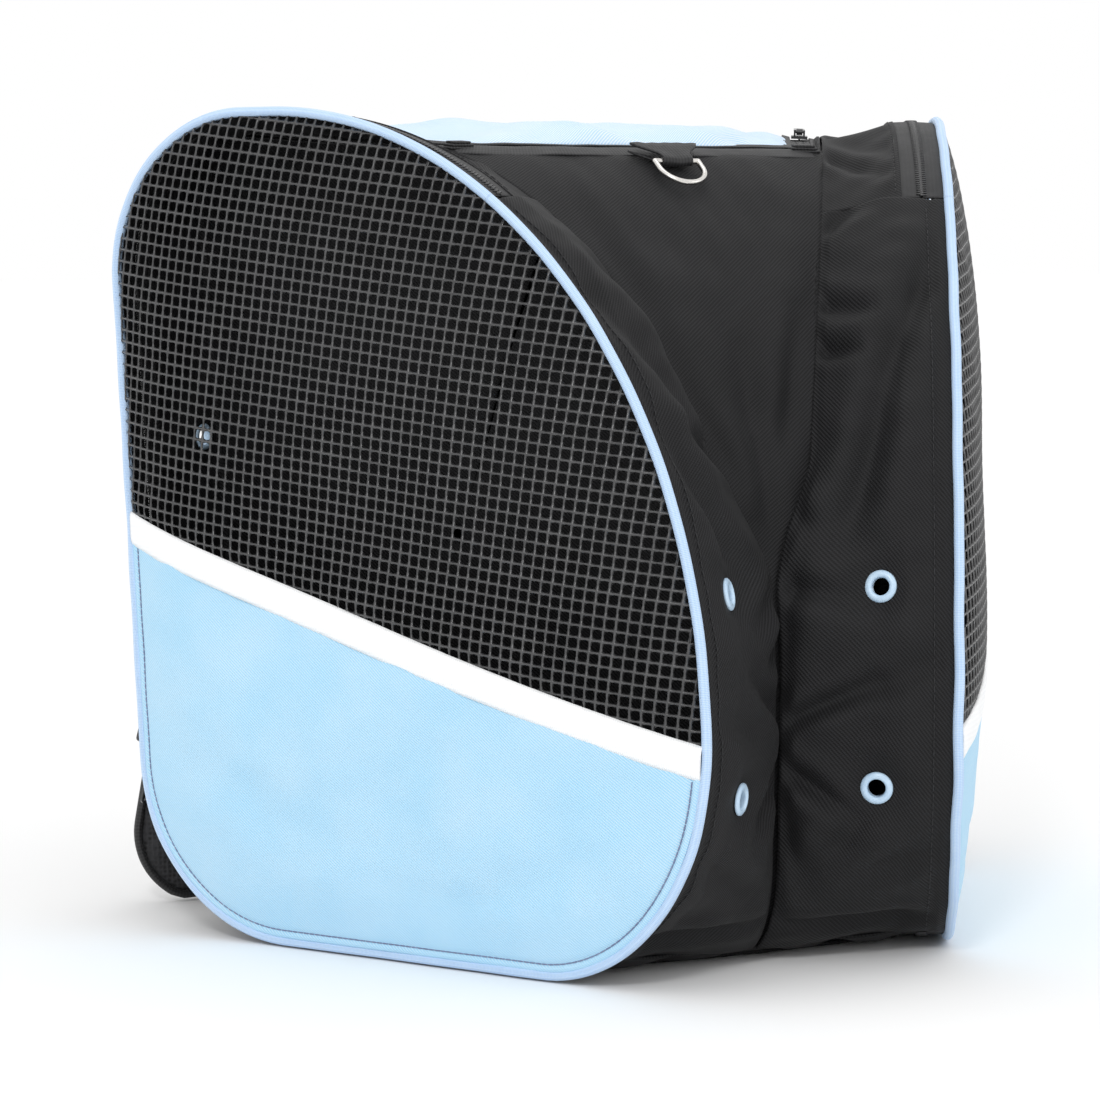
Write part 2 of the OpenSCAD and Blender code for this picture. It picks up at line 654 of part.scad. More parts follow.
base_panel();
base_board();
front_panel();
back_panel();
back_board();
back_pad();
for (s = [-1, 1]) {
    name = s < 0 ? "left_" : "right_";
    divider(s);
    toe_gusset(s);
    zip_gusset(s);
    zip_tape(s);
    toe_mesh(s);
    toe_stripe(s);
    toe_lower(s);
    toe_piping(s);
    eyelets(s);
    door_mesh(s);
    door_stripe(s);
    door_lower(s);
    door_piping(s);
    door_tape(s);
    upper_slider(s);
    lower_slider(s);
    upper_pull(s);
    lower_pull(s);
    lid_slider(s);
    lid_pull(s);
    strap_pad(s);
    ladder_lock(s);
    strap_webbing(s);
}
lid_panel();
lid_tape();
rim_tape();
d_ring();
d_ring_tab();
grab_handle();
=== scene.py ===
"""Skate backpack: the looks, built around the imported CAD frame.

Points are worked out in millimetres in the CAD model's frame and placed in metres.
Each skate compartment ("arm") has its own frame: x from toe to heel, y up, n outward.
"""
import math

import bmesh
import bpy
import numpy as np
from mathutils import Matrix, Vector


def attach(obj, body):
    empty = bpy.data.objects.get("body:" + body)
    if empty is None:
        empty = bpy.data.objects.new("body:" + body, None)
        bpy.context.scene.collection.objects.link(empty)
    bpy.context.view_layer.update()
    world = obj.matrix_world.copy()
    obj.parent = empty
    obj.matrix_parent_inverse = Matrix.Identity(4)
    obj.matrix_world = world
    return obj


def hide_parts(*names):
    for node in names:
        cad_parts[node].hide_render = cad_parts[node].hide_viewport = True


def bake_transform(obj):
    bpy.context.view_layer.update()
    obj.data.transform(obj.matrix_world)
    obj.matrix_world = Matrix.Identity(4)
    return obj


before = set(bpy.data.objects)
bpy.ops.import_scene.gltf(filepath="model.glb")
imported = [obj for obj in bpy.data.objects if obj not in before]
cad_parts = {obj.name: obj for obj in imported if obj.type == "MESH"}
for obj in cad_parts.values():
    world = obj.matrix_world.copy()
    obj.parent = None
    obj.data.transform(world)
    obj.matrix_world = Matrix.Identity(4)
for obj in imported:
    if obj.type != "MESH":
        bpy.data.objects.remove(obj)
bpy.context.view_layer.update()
MM = 0.001

# ---------------------------------------------------------------- driving sizes, as in the CAD
BAG_H, PANEL_LEN, ARM_T, ARM_TAPER = 416.0, 348.0, 90.0, 25.0
SPLAY = math.radians(30)
TOE_LEAD, TOP_RISE, BASE_T, WALL_T = 15.0, 8.0, 3.0, 2.0
TOP_X, TOE_Y, HEEL_FOOT_X = 249.0, 117.0, 333.0
HEEL_LEAN = 3.528
TOE_FOOT, WALL_TOE_FOOT = np.array([90.0, 114.0]), np.array([32.0, 45.0])
HEEL_TOP_R, WALL_HEEL_TOP_R = 80.0, 20.0
HEEL_FOOT_R, WALL_HEEL_FOOT_R = 90.0, 45.0
FOLD_TOP_A, FOLD_FOOT_A, FRONT_TOP_A = 121.0, -110.0, 105.0
TAPER = ARM_TAPER / BAG_H
PIPING_R, GAP, ZIP_GAP, TAPE_W = 2.5, 0.3, 1.6, 10.0
EDGE_N = ARM_T - 1 - PIPING_R - GAP
DOOR_TAPE_N = EDGE_N - TAPE_W
RIM_TAPE_N = DOOR_TAPE_N - ZIP_GAP - TAPE_W
CHAIN_N = DOOR_TAPE_N - ZIP_GAP / 2
GUSSET_N = RIM_TAPE_N - GAP
WALL_FOOT_N = WALL_T + 2 * GAP
MID_Y = (-59.9 + 324.6) / 2
BACK_Y = 277.6 - MID_Y
PAD_T, STRAP_W, STRAP_T, STRAP_BOW = 13.0, 60.0, 12.0, 20.0
EYELET_R, EYELET_HOLE_R = 8.0, 4.35
TOE_EYELETS, HEEL_EYELETS = ((90, 0.25), (187, 0.25)), ((250, 0.74), (140, 0.74))
PANEL_CENTRE, WALL_CENTRE = np.array([185.0, 210.0]), np.array([190.0, 205.0])
SIDES = {"left": -1, "right": 1}
BACKWARD, LID_INSIDE = np.array([0.0, 1.0, 0.0]), (0, 0, 150)


# ---------------------------------------------------------------- small tools
def mix(a, b, w):
    return a + (b - a) * w


def smooth(t):
    t = np.clip(t, 0, 1)
    return t * t * (3 - 2 * t)


def bell(x, width):
    """A smooth hump, 1 where x is 0."""
    return np.exp(-((x / width) ** 2))


def bezier(a, b, c, count):
    """Curve from a to c that heads for b at both ends."""
    t = np.linspace(0, 1, count)[:, None]
    return (1 - t) ** 2 * a + 2 * t * (1 - t) * b + t ** 2 * c


def unit(v):
    return v / np.maximum(np.linalg.norm(v, axis=-1, keepdims=True), 1e-9)


def ripple(p, scale, seed, waves=9):
    """Smooth random bumps of about that scale at points p, between about -1 and 1."""
    rng = np.random.default_rng(seed)
    total = np.zeros(p.shape[:-1])
    for _ in range(waves):
        direction = unit(rng.normal(size=p.shape[-1]))
        k = 2 * math.pi / (scale * rng.uniform(0.7, 1.6))
        total += np.sin(p @ direction * k + rng.uniform(0, 2 * math.pi))
    return total / math.sqrt(waves)


def crease(q, a, b, width, depth):
    """A valley in cloth along the line a to b, with a low shoulder on each side."""
    a, b = np.array(a, float), np.array(b, float)
    d = b - a
    t = np.clip(((q - a) @ d) / (d @ d), 0, 1)
    dist = np.linalg.norm(q - a - t[..., None] * d, axis=-1)
    fade = np.sin(np.pi * np.clip(t * 0.9 + 0.05, 0, 1)) ** 0.6
    valley = bell(dist, width)
    shoulder = bell(dist - 2.1 * width, 1.2 * width)
    return 1.7 * depth * fade * (0.45 * shoulder - valley)


def creases(q, folds):
    return sum(crease(q, *fold) for fold in folds)


def distance_along(path):
    """How far each point of a line is along it."""
    return np.concatenate([[0], np.cumsum(np.linalg.norm(np.diff(path, axis=0), axis=1))])


def sampled(t, run, values):
    """The values at distances t along a line; run holds the distances of its own points."""
    return np.stack([np.interp(t, run, values[:, i]) for i in range(values.shape[1])], -1)


def pairs(*parts):
    """Coordinates given apart, as one grid of points."""
    return np.stack(np.broadcast_arrays(*parts), -1)


def outward(path, centre):
    """Direction along a flat line, and the way across it that points away from the centre."""
    tangent = unit(np.gradient(path, axis=0))
    out = np.stack([tangent[:, 1], -tangent[:, 0]], -1)
    return tangent, -out if np.mean((path - centre) * out) < 0 else out


def resampled(path, count=None, step=None):
    """The same line with even spacing."""
    path = np.asarray(path, float)
    length = distance_along(path)
    if count is None:
        count = max(2, int(round(length[-1] / step)) + 1)
    return sampled(np.linspace(0, length[-1], count), length, path)


# ---------------------------------------------------------------- outline of a compartment
def arc(c, r, a0, a1, n):
    a = np.radians(np.linspace(a0, a1, n))
    return np.stack([c[0] + r[0] * np.cos(a), c[1] + r[1] * np.sin(a)], -1)


def toe_foot_arc(w, k, a0, a1, n):
    r = mix(TOE_FOOT, WALL_TOE_FOOT, w)
    return arc((TOE_LEAD * w + r[0], BASE_T + r[1]), (r[0] - k, r[1] - k), a0, a1, n)


def toe_arc(w, k, a0, a1, n):
    return arc((TOP_X, TOE_Y), (TOP_X - TOE_LEAD * w - k, BAG_H - TOE_Y - TOP_RISE * w - k), a0, a1, n)


def heel_top_arc(w, k, a0, n):
    r = mix(HEEL_TOP_R, WALL_HEEL_TOP_R, w)
    return arc((PANEL_LEN - r, BAG_H - TOP_RISE * w - r), (r - k, r - k), a0, -HEEL_LEAN, n)


def heel_foot_arc(w, k, n):
    r = mix(HEEL_FOOT_R, WALL_HEEL_FOOT_R, w)
    return arc((HEEL_FOOT_X - r, BASE_T + r), (r - k, r - k), -HEEL_LEAN, -90, n)


def between(p, q, n):
    return p + (q - p) * np.linspace(0, 1, n + 2)[1:-1, None]


def joined(*runs, gaps):
    """Arcs joined by straight runs with the given numbers of points between them."""
    out = [runs[0]]
    for run, n in zip(runs[1:], gaps):
        if n:
            out.append(between(out[-1][-1], run[0], n))
        out.append(run)
    return np.concatenate(out)


def door_run(w, k=0.0, fine=1):
    return joined(toe_arc(w, k, FOLD_TOP_A, 90, 44 * fine), heel_top_arc(w, k, 90, 40 * fine),
                  heel_foot_arc(w, k, 44 * fine), toe_foot_arc(w, k, -90, FOLD_FOOT_A, 10 * fine),
                  gaps=(5 * fine, 80 * fine, 50 * fine))


def toe_run(w, k=0.0, fine=1):
    return joined(toe_foot_arc(w, k, FOLD_FOOT_A, -180, 44 * fine),
                  toe_arc(w, k, 180, FOLD_TOP_A, 96 * fine)[1:], gaps=(0,))


def whole_run(w, k=0.0, fine=1):
    return np.concatenate([door_run(w, k, fine), toe_run(w, k, fine)[1:-1]])


def wall_n(y):
    return TAPER * y


def to_bag(side, x, y, n):
    """Arm frame to the bag's frame, in millimetres."""
    out = (x - TOE_LEAD) * math.sin(SPLAY) + n * math.cos(SPLAY)
    back = (x - TOE_LEAD) * math.cos(SPLAY) - n * math.sin(SPLAY) - MID_Y
    return pairs(side * out, back, y)


def on_arm(side, xy, n):
    return to_bag(side, xy[..., 0], xy[..., 1], n)


def arm_middle(side, n):
    return to_bag(side, *PANEL_CENTRE, n)


def arm_dir(side, dx, dy, dn):
    return to_bag(side, TOE_LEAD + dx, dy, dn) - to_bag(side, TOE_LEAD, 0.0, 0.0)


FOLD_FOOT = toe_foot_arc(0, 0, FOLD_FOOT_A, FOLD_FOOT_A, 1)[0]
FOLD_TOP = toe_arc(0, 0, FOLD_TOP_A, FOLD_TOP_A, 1)[0]
FOLD_DIR = unit(FOLD_TOP - FOLD_FOOT)
FOLD_OUT = np.array([FOLD_DIR[1], -FOLD_DIR[0]])

# ---------------------------------------------------------------- surface of the outer panel
RIM = whole_run(0, 0, 2)
RIM_ANGLE = np.arctan2(*(RIM - PANEL_CENTRE).T[::-1])
RIM_RADIUS = np.linalg.norm(RIM - PANEL_CENTRE, axis=1)
RIM_ORDER = np.argsort(RIM_ANGLE)


def rim_share(xy):
    """How far a point is from the panel's centre to its edge, 0 to 1, and its angle."""
    d = xy - PANEL_CENTRE
    angle = np.arctan2(d[..., 1], d[..., 0])
    radius = np.interp(angle, RIM_ANGLE[RIM_ORDER], RIM_RADIUS[RIM_ORDER], period=2 * math.pi)
    return np.linalg.norm(d, axis=-1) / radius, angle


BULGE = 17.5
BULGE_POWER = 4.0


def panel_n(xy):
    """Depth of the outer panel's face: a bulge that falls off steeply at the edge, a little puckered."""
    s, angle = rim_share(xy)
    s = np.clip(s, 0, 1.0)
    pucker = 0.9 * s ** 8 * np.sin(angle * 26) * np.sin(angle * 5 + 1) * (1 - s) * 8
    sag = 1.2 * ripple(xy, 150, 5) * (1 - s ** 2)
    return ARM_T + BULGE * (1 - s ** BULGE_POWER) + pucker + sag


# ---------------------------------------------------------------- meshes
def add_object(name, verts, faces, weave=None):
    mesh = bpy.data.meshes.new(name)
    mesh.from_pydata((np.asarray(verts) * MM).tolist(), [], [list(map(int, f)) for f in faces])
    mesh.update()
    if weave is not None:
        attribute = mesh.attributes.new("weave", "FLOAT_VECTOR", "POINT")
        flat = np.zeros((len(verts), 3), np.float32)
        flat[:, :2] = np.asarray(weave).reshape(-1, 2)
        attribute.data.foreach_set("vector", flat.ravel())
    mesh.polygons.foreach_set("use_smooth", [True] * len(mesh.polygons))
    obj = bpy.data.objects.new(name, mesh)
    bpy.context.scene.collection.objects.link(obj)
    return obj


def grid_faces(m, n, wrap=False):
    i, j = np.meshgrid(np.arange(m - 1), np.arange(n if wrap else n - 1), indexing="ij")
    k = (j + 1) % n
    quads = np.stack([i * n + j, i * n + k, (i + 1) * n + k, (i + 1) * n + j], -1)
    return quads.reshape(-1, 4)


def grid_normals(p, inside):
    """Unit normals of a grid of points, turned away from the inside point."""
    du, dv = np.gradient(p, axis=0), np.gradient(p, axis=1)
    normal = unit(np.cross(du, dv))
    if np.sum(normal * (p - np.asarray(inside))) < 0:
        normal = -normal
    return normal


def facing(p, faces, inside):
    """The faces, turned so that most look away from the inside point."""
    v = p.reshape(-1, 3)
    a, b, c, d = (v[faces[:, i]] for i in range(4))
    normal = np.cross(c - a, d - b)
    if np.sum(normal * ((a + c) / 2 - np.asarray(inside))) < 0:
        return faces[:, ::-1]
    return faces


def sheet(name, p, weave, inside, thick=1.4, keep=None):
    """Cloth over a grid of points, with its thickness inward. keep drops faces where it is false."""
    faces = facing(p, grid_faces(p.shape[0], p.shape[1]), inside)
    if keep is not None:
        flat = keep.reshape(-1)
        faces = faces[flat[faces].all(axis=1)]
    obj = add_object(name, p.reshape(-1, 3), faces, np.asarray(weave).reshape(-1, 2))
    if thick:
        solid = obj.modifiers.new("thickness", "SOLIDIFY")
        solid.thickness = thick * MM
        solid.offset = -1
        solid.use_even_offset = False
    return obj


def tube_points(path, normal, radius, sides, squash=1.0, closed=False):
    """Rings round a path. normal holds one direction across the path for each point."""
    if closed:
        tangent = unit(np.roll(path, -1, axis=0) - np.roll(path, 1, axis=0))
    else:
        tangent = unit(np.gradient(path, axis=0))
    across = unit(normal - (normal * tangent).sum(-1, keepdims=True) * tangent)
    third = np.cross(tangent, across)
    a = np.linspace(0, 2 * math.pi, sides, endpoint=False)
    ring = np.cos(a)[None, :, None] * across[:, None] + squash * np.sin(a)[None, :, None] * third[:, None]
    return path[:, None] + radius * ring


def tube_faces(count, sides):
    """Faces of rings of points in a row, with both ends capped."""
    last = (count - 1) * sides
    ends = [list(range(sides))[::-1], [last + j for j in range(sides)]]
    return [list(f) for f in grid_faces(count, sides, wrap=True)] + ends


def tube(name, path, normal, radius, sides=12, closed=False, squash=1.0):
    rings = tube_points(path, normal, radius, sides, squash, closed)
    count = len(path)
    length = distance_along(path)
    turn = np.linspace(0, 2 * math.pi * radius, sides, endpoint=False)
    weave = pairs(length[:, None], turn[None, :])
    faces = tube_faces(count, sides)
    if closed:
        last = (count - 1) * sides
        faces[-2:] = [[last + j, last + (j + 1) % sides, (j + 1) % sides, j] for j in range(sides)]
    obj = add_object(name, rings.reshape(-1, 3), faces, weave)
    fix_normals(obj)
    return obj


def fix_normals(obj):
    bm = bmesh.new()
    bm.from_mesh(obj.data)
    bmesh.ops.recalc_face_normals(bm, faces=bm.faces)
    bm.to_mesh(obj.data)
    bm.free()


def slab(name, near, far, side=1):
    """Closed block between two equal grids of points, mirrored where the side is -1."""
    m, n = near.shape[:2]
    front = grid_faces(m, n)
    loop = [(i, 0) for i in range(m)] + [(m - 1, j) for j in range(1, n)]
    loop += [(i, n - 1) for i in range(m - 2, -1, -1)] + [(0, j) for j in range(n - 2, 0, -1)]
    ids = [i * n + j for i, j in loop]
    rim = [[a, b, b + m * n, a + m * n] for a, b in zip(ids, ids[1:] + ids[:1])]
    faces = [list(f) for f in front] + [list(f[::-1] + m * n) for f in front] + rim
    obj = add_object(name, np.concatenate([near.reshape(-1, 3), far.reshape(-1, 3)]) * [side, 1, 1], faces)
    fix_normals(obj)
    return obj


def merged(name, parts):
    """One object from several (verts, faces) sets."""
    verts, faces, base = [], [], 0
    for v, f in parts:
        verts.append(np.asarray(v).reshape(-1, 3))
        faces += [[int(x) + base for x in face] for face in f]
        base += len(verts[-1])
    verts = np.concatenate(verts)
    return add_object(name, verts, faces, verts[:, :2])


def rounded_block(size, bevel):
    """A block with chamfered edges, as (verts, faces), centred on the origin."""
    hx, hy, hz = np.array(size) / 2
    b = min(bevel, hx * 0.95, hy * 0.95, hz * 0.95)
    bm = bmesh.new()
    bmesh.ops.create_cube(bm, size=1)
    for v in bm.verts:
        v.co = Vector((v.co.x * 2 * hx, v.co.y * 2 * hy, v.co.z * 2 * hz))
    bmesh.ops.bevel(bm, geom=list(bm.edges), offset=b, segments=2, affect="EDGES", profile=0.5)
    bm.verts.ensure_lookup_table()
    verts = np.array([v.co[:] for v in bm.verts])
    faces = [[v.index for v in f.verts] for f in bm.faces]
    bm.free()
    return verts, faces


# ---------------------------------------------------------------- materials
class Nodes:
    """A short way to wire a material's nodes."""

    def __init__(self, name):
        self.mat = bpy.data.materials.new(name)
        self.mat.use_nodes = True
        self.tree = self.mat.node_tree
        self.shader = self.tree.nodes["Principled BSDF"]

    def add(self, kind, **settings):
        """A new node; each setting is an input's value or source, or a property of the node."""
        node = self.tree.nodes.new(kind)
        self.set(node, **settings)
        return node

    def set(self, node, **settings):
        for key, value in settings.items():
            key = key.replace("_", " ") if key.replace("_", " ") in node.inputs else key
            if key not in node.inputs:
                setattr(node, key, value)
            elif isinstance(value, bpy.types.NodeSocket):
                self.link(value, node.inputs[key])
            else:
                node.inputs[key].default_value = value

    def link(self, a, b):
        self.tree.links.new(a, b)

    def math(self, op, a, b=0.0):
        node = self.tree.nodes.new("ShaderNodeMath")
        node.operation = op
        for i, value in enumerate((a, b)):
            if isinstance(value, (int, float)):
                node.inputs[i].default_value = value
            else:
                self.link(value, node.inputs[i])
        return node.outputs[0]

    def ramp(self, value, stops):
        node = self.tree.nodes.new("ShaderNodeValToRGB")
        elements = node.color_ramp.elements
        while len(elements) < len(stops):
            elements.new(0.5)
        for element, (at, colour) in zip(elements, stops):
            element.position = at
            element.color = (*colour, 1)
        self.link(value, node.inputs[0])
        return node.outputs[0]

    def coords(self, source):
        """Coordinates in millimetres: along the cloth ("weave") or in the object's own space."""
        if source == "weave":
            return self.add("ShaderNodeAttribute", attribute_name="weave").outputs["Vector"]
        texture = self.add("ShaderNodeTexCoord")
        return self.add("ShaderNodeVectorMath", operation="SCALE", Scale=1 / MM,
                        Vector=texture.outputs["Object"]).outputs[0]

    def wave(self, vector, pitch, angle, distort=0.0):
        """Bands of that pitch in millimetres, running at that angle, as a value from 0 to 1."""
        mapping = self.add("ShaderNodeMapping", Rotation=(0, 0, math.radians(angle)), Vector=vector)
        return self.add("ShaderNodeTexWave", wave_type="BANDS", bands_direction="X", wave_profile="SIN",
                        Scale=2 * math.pi / 20 / pitch, Distortion=distort, Detail=1, Detail_Scale=0.6,
                        Vector=mapping.outputs[0]).outputs["Fac"]

    def noise(self, vector, size, detail=3, rough=0.55):
        return self.add("ShaderNodeTexNoise", Scale=1 / size, Detail=detail, Roughness=rough,
                        Vector=vector).outputs["Fac"]

    def bump(self, height, strength, distance_mm):
        return self.add("ShaderNodeBump", Strength=strength, Distance=distance_mm * MM,
                        Height=height).outputs["Normal"]

    def total(self, a, a_share, b, b_share):
        return self.math("ADD", self.math("MULTIPLY", a, a_share), self.math("MULTIPLY", b, b_share))

    def colour(self, shade, stops):
        self.set(self.shader, Base_Color=self.ramp(shade, stops))

    def rough(self, value, spread, least):
        self.set(self.shader, Roughness=self.math("ADD", self.math("MULTIPLY", value, spread), least))


def twill(name, dark, light, pitch=1.5, rough=0.62, bump=0.7, sheen=0.25, tint=None, angle=52):
    """Diagonal weave: two crossed sets of bands, slow colour drift and fine fibre noise."""
    m = Nodes(name)
    at = m.coords("weave")
    weave = m.total(m.wave(at, pitch, angle, 0.6), 0.72, m.wave(at, pitch * 0.62, angle - 82, 0.8), 0.28)
    fibre = m.noise(at, 0.9, 2)
    drift = m.noise(at, 55, 3)
    height = m.math("ADD", weave, m.math("MULTIPLY", fibre, 0.35))
    m.colour(m.total(height, 0.62, drift, 0.38),
             [(0.25, dark), *([(0.58, tint)] if tint else []), (0.85, light)])
    m.rough(drift, 0.16, rough - 0.08)
    m.set(m.shader, Normal=m.bump(height, bump, 0.25), Sheen_Weight=sheen, Sheen_Roughness=0.45,
          Specular_IOR_Level=0.2)
    return m.mat


def ribbed(name, dark, light, pitch, rough=0.6, across=None, sheen=0.1):
    """Ribbed tape or webbing."""
    m = Nodes(name)
    at = m.coords("weave")
    height = m.total(m.wave(at, pitch, 0, 0.25), 0.7, m.wave(at, across or pitch * 2.2, 90, 0.4), 0.3)
    m.colour(m.total(height, 0.7, m.noise(at, 9), 0.3), [(0.2, dark), (0.8, light)])
    m.rough(m.noise(at, 14), 0.2, rough - 0.1)
    m.set(m.shader, Normal=m.bump(height, 0.6, 0.25), Sheen_Weight=sheen)
    return m.mat


def coated(name, dark, light, rough, coat=0.4, grain=1.2, metallic=0.0, bump=0.15):
    """Smooth coated or moulded surface with faint grain and wear."""
    m = Nodes(name)
    at = m.coords("object")
    grains = m.noise(at, grain, 4)
    wear = m.noise(at, grain * 9, 3)
    m.colour(m.total(grains, 0.5, wear, 0.5), [(0.3, dark), (0.75, light)])
    m.rough(wear, 0.2, rough - 0.1)
    m.set(m.shader, Normal=m.bump(grains, bump, 0.15), Coat_Weight=coat, Coat_Roughness=0.25,
          Metallic=metallic)
    return m.mat


def air_mesh(name, dark, light, cell):
    """Spacer mesh over foam: a lattice of small dark holes."""
    m = Nodes(name)
    at = m.coords("object")
    holes = m.add("ShaderNodeTexVoronoi", feature="F1", Scale=1 / cell, Randomness=0.25, Vector=at)
    pits = m.math("MULTIPLY", holes.outputs["Distance"], 1.6)
    m.colour(m.total(pits, 0.75, m.noise(at, 30), 0.25), [(0.2, dark), (0.75, light)])
    m.set(m.shader, Normal=m.bump(pits, 0.9, 0.5), Roughness=0.75, Sheen_Weight=0.06)
    return m.mat


BLACK = twill("black_twill", (0.0012, 0.0012, 0.0014), (0.0185, 0.0185, 0.0200), bump=0.9, sheen=0.03)
BLUE = twill("blue_twill", (0.30, 0.59, 0.82), (0.58, 0.74, 0.87), 1.2, 0.6, 0.35, 0.05,
             tint=(0.40, 0.675, 0.86))
LID_BLUE = twill("lid_twill", (0.40, 0.62, 0.85), (0.80, 0.84, 0.92), 1.2, 0.6, 0.35, 0.05,
                 tint=(0.56, 0.73, 0.90))
WHITE = ribbed("white_grosgrain", (0.86, 0.87, 0.88), (0.97, 0.975, 0.98), 1.1)
PIPING = ribbed("blue_piping", (0.40, 0.58, 0.86), (0.60, 0.75, 0.92), 0.8, rough=0.5)
ZIP_CLOTH = ribbed("zip_cloth", (0.003, 0.003, 0.0035), (0.016, 0.016, 0.018), 1.0, sheen=0.03)
WEBBING = ribbed("black_webbing", (0.0035, 0.0035, 0.004), (0.022, 0.022, 0.024), 1.8, across=2.4, sheen=0.03)
COIL = coated("nylon_coil", (0.010, 0.010, 0.011), (0.030, 0.030, 0.032), 0.38, coat=0.3)
VINYL = coated("vinyl_mesh", (0.012, 0.012, 0.013), (0.070, 0.070, 0.072), 0.30, 0.5, grain=2.0, bump=0.4)
ENAMEL = coated("black_enamel", (0.008, 0.008, 0.009), (0.022, 0.022, 0.024), 0.32, coat=0.6)
EYELET = coated("eyelet_enamel", (0.42, 0.60, 0.80), (0.62, 0.78, 0.92), 0.35, coat=0.5)
NICKEL = coated("nickel", (0.62, 0.60, 0.57), (0.82, 0.80, 0.77), 0.24, coat=0.0, metallic=1.0, bump=0.08)
BOARD = coated("board", (0.012, 0.012, 0.013), (0.028, 0.028, 0.03), 0.6, coat=0.1)
ACETAL = coated("acetal", (0.009, 0.009, 0.010), (0.024, 0.024, 0.026), 0.45, coat=0.2, grain=0.6)
AIR_MESH = air_mesh("air_mesh", (0.004, 0.004, 0.0045), (0.034, 0.034, 0.037), 2.6)
THREAD_BLUE = coated("blue_thread", (0.13, 0.15, 0.26), (0.24, 0.28, 0.42), 0.6, coat=0.0)
THREAD_BLACK = coated("black_thread", (0.006, 0.006, 0.007), (0.024, 0.024, 0.026), 0.6, coat=0.0)


def finish_piece(obj, body, material, slot, *nodes):
    """Gives a piece its material and attaches it to the CAD body that it moves with; a piece given a fold
    blend only has its placement baked into its points. The slot argument is not used.
    """
    obj.data.materials.clear()
    obj.data.materials.append(material)
    if isinstance(body, tuple):
        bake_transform(obj)
    else:
        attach(obj, body)
    if nodes:
        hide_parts(*nodes)
    return obj


def fold_blend(side, name):
    """The blend across a door's fold line, from the fixed toe part to the door."""
    mid = (FOLD_FOOT + FOLD_TOP) / 2
    half = 9.0
    ends = [to_bag(side, *(mid + FOLD_OUT * way * half), ARM_T) * MM for way in (-1, 1)]
    return ("bag", name + "_door", tuple(ends[0]), tuple(ends[1]))


# ---------------------------------------------------------------- outer panels
STRIPE_W, STRIPE_SLOPE = 14.0, 0.281
STRIPE_RISE = STRIPE_W * math.sqrt(1 + STRIPE_SLOPE ** 2)


def stripe_y(x, lift=0.0):
    return 104 + STRIPE_SLOPE * x + lift


def below_line(path, lift):
    """The part of an outline under the stripe's line, with its two ends on the line."""
    drop = path[:, 1] - stripe_y(path[:, 0], lift)
    inside = np.nonzero(drop < 0)[0]
    i, j = inside[0], inside[-1]
    cut = [path[a] + (path[b] - path[a]) * drop[a] / (drop[a] - drop[b]) for a, b in ((i - 1, i), (j, j + 1))]
    return np.concatenate([[cut[0]], path[i:j + 1], [cut[1]]])


def edge_distance(xy):
    """Distance of points on the panel from its edge."""
    flat = xy.reshape(-1, 2)
    out = np.empty(len(flat))
    for i in range(0, len(flat), 4000):
        out[i:i + 4000] = np.linalg.norm(flat[i:i + 4000, None] - RIM[None, ::2], axis=-1).min(axis=1)
    return out.reshape(xy.shape[:-1])


SEAM_IN = 5.6


def lower_n(xy):
    """Face of the blue lower part: the panel with its second seam and a few soft folds."""
    d = edge_distance(xy)
    seam = -0.9 * bell(d - SEAM_IN, 1.3) + 0.5 * bell(d - 3.4, 1.6)
    inner = smooth((d - 10) / 30)
    folds = creases(xy, (((60, 60), (150, 24), 9, 0.9), ((215, 60), (300, 95), 12, 0.8),
                         ((120, 130), (190, 60), 16, 0.7)))
    return panel_n(xy) + seam + inner * (folds + 0.8 * ripple(xy, 90, 11) + 0.22 * ripple(xy, 26, 12))


def outer_panel(side, name):
    """Mesh window, stripe and blue lower part. Each runs across the door's fold as one piece."""
    fold = fold_blend(side, name)
    inside = arm_middle(side, 0.0)
    outline = whole_run(0, 1.6, 3)

    rim = resampled(below_line(outline, 0), 260)
    line = np.linspace(rim[0], rim[-1], 260)
    v = (np.linspace(0, 1, 70) ** 1.25)[:, None, None]
    xy = mix(rim[None], line[None], v)
    p = on_arm(side, xy, lower_n(xy))
    lower = sheet(name + "_lower_panel", p, xy, inside)
    finish_piece(lower, fold, BLUE, "blue_fabric", name + "_toe_lower", name + "_door_lower")

    ends = [below_line(whole_run(0, 1.2, 3), lift)[[0, -1]] for lift in (-1.2, STRIPE_RISE + 1.2)]
    v = np.linspace(0, 1, 9)[:, None, None]
    rows = [np.linspace(e[0], e[1], 240) for e in ends]
    xy = mix(rows[0][None], rows[1][None], v)
    edge = np.minimum(v[..., 0], 1 - v[..., 0])
    lift = 1.3 * smooth(edge / 0.1) - 0.35 * bell(edge - 0.14, 0.05) + 0.12 * ripple(xy, 12, 21)
    p = on_arm(side, xy, panel_n(xy) + lift)
    stripe = sheet(name + "_stripe", p, xy - xy[:1, :1], inside, thick=0.9)
    finish_piece(stripe, fold, WHITE, "white_tape", name + "_toe_stripe", name + "_door_stripe")

    mesh_window(side, name, fold, outline)
    edging(side, name, fold)


MESH_PITCH, MESH_THREAD, MESH_TURN = 5.75, 1.35, math.radians(7)


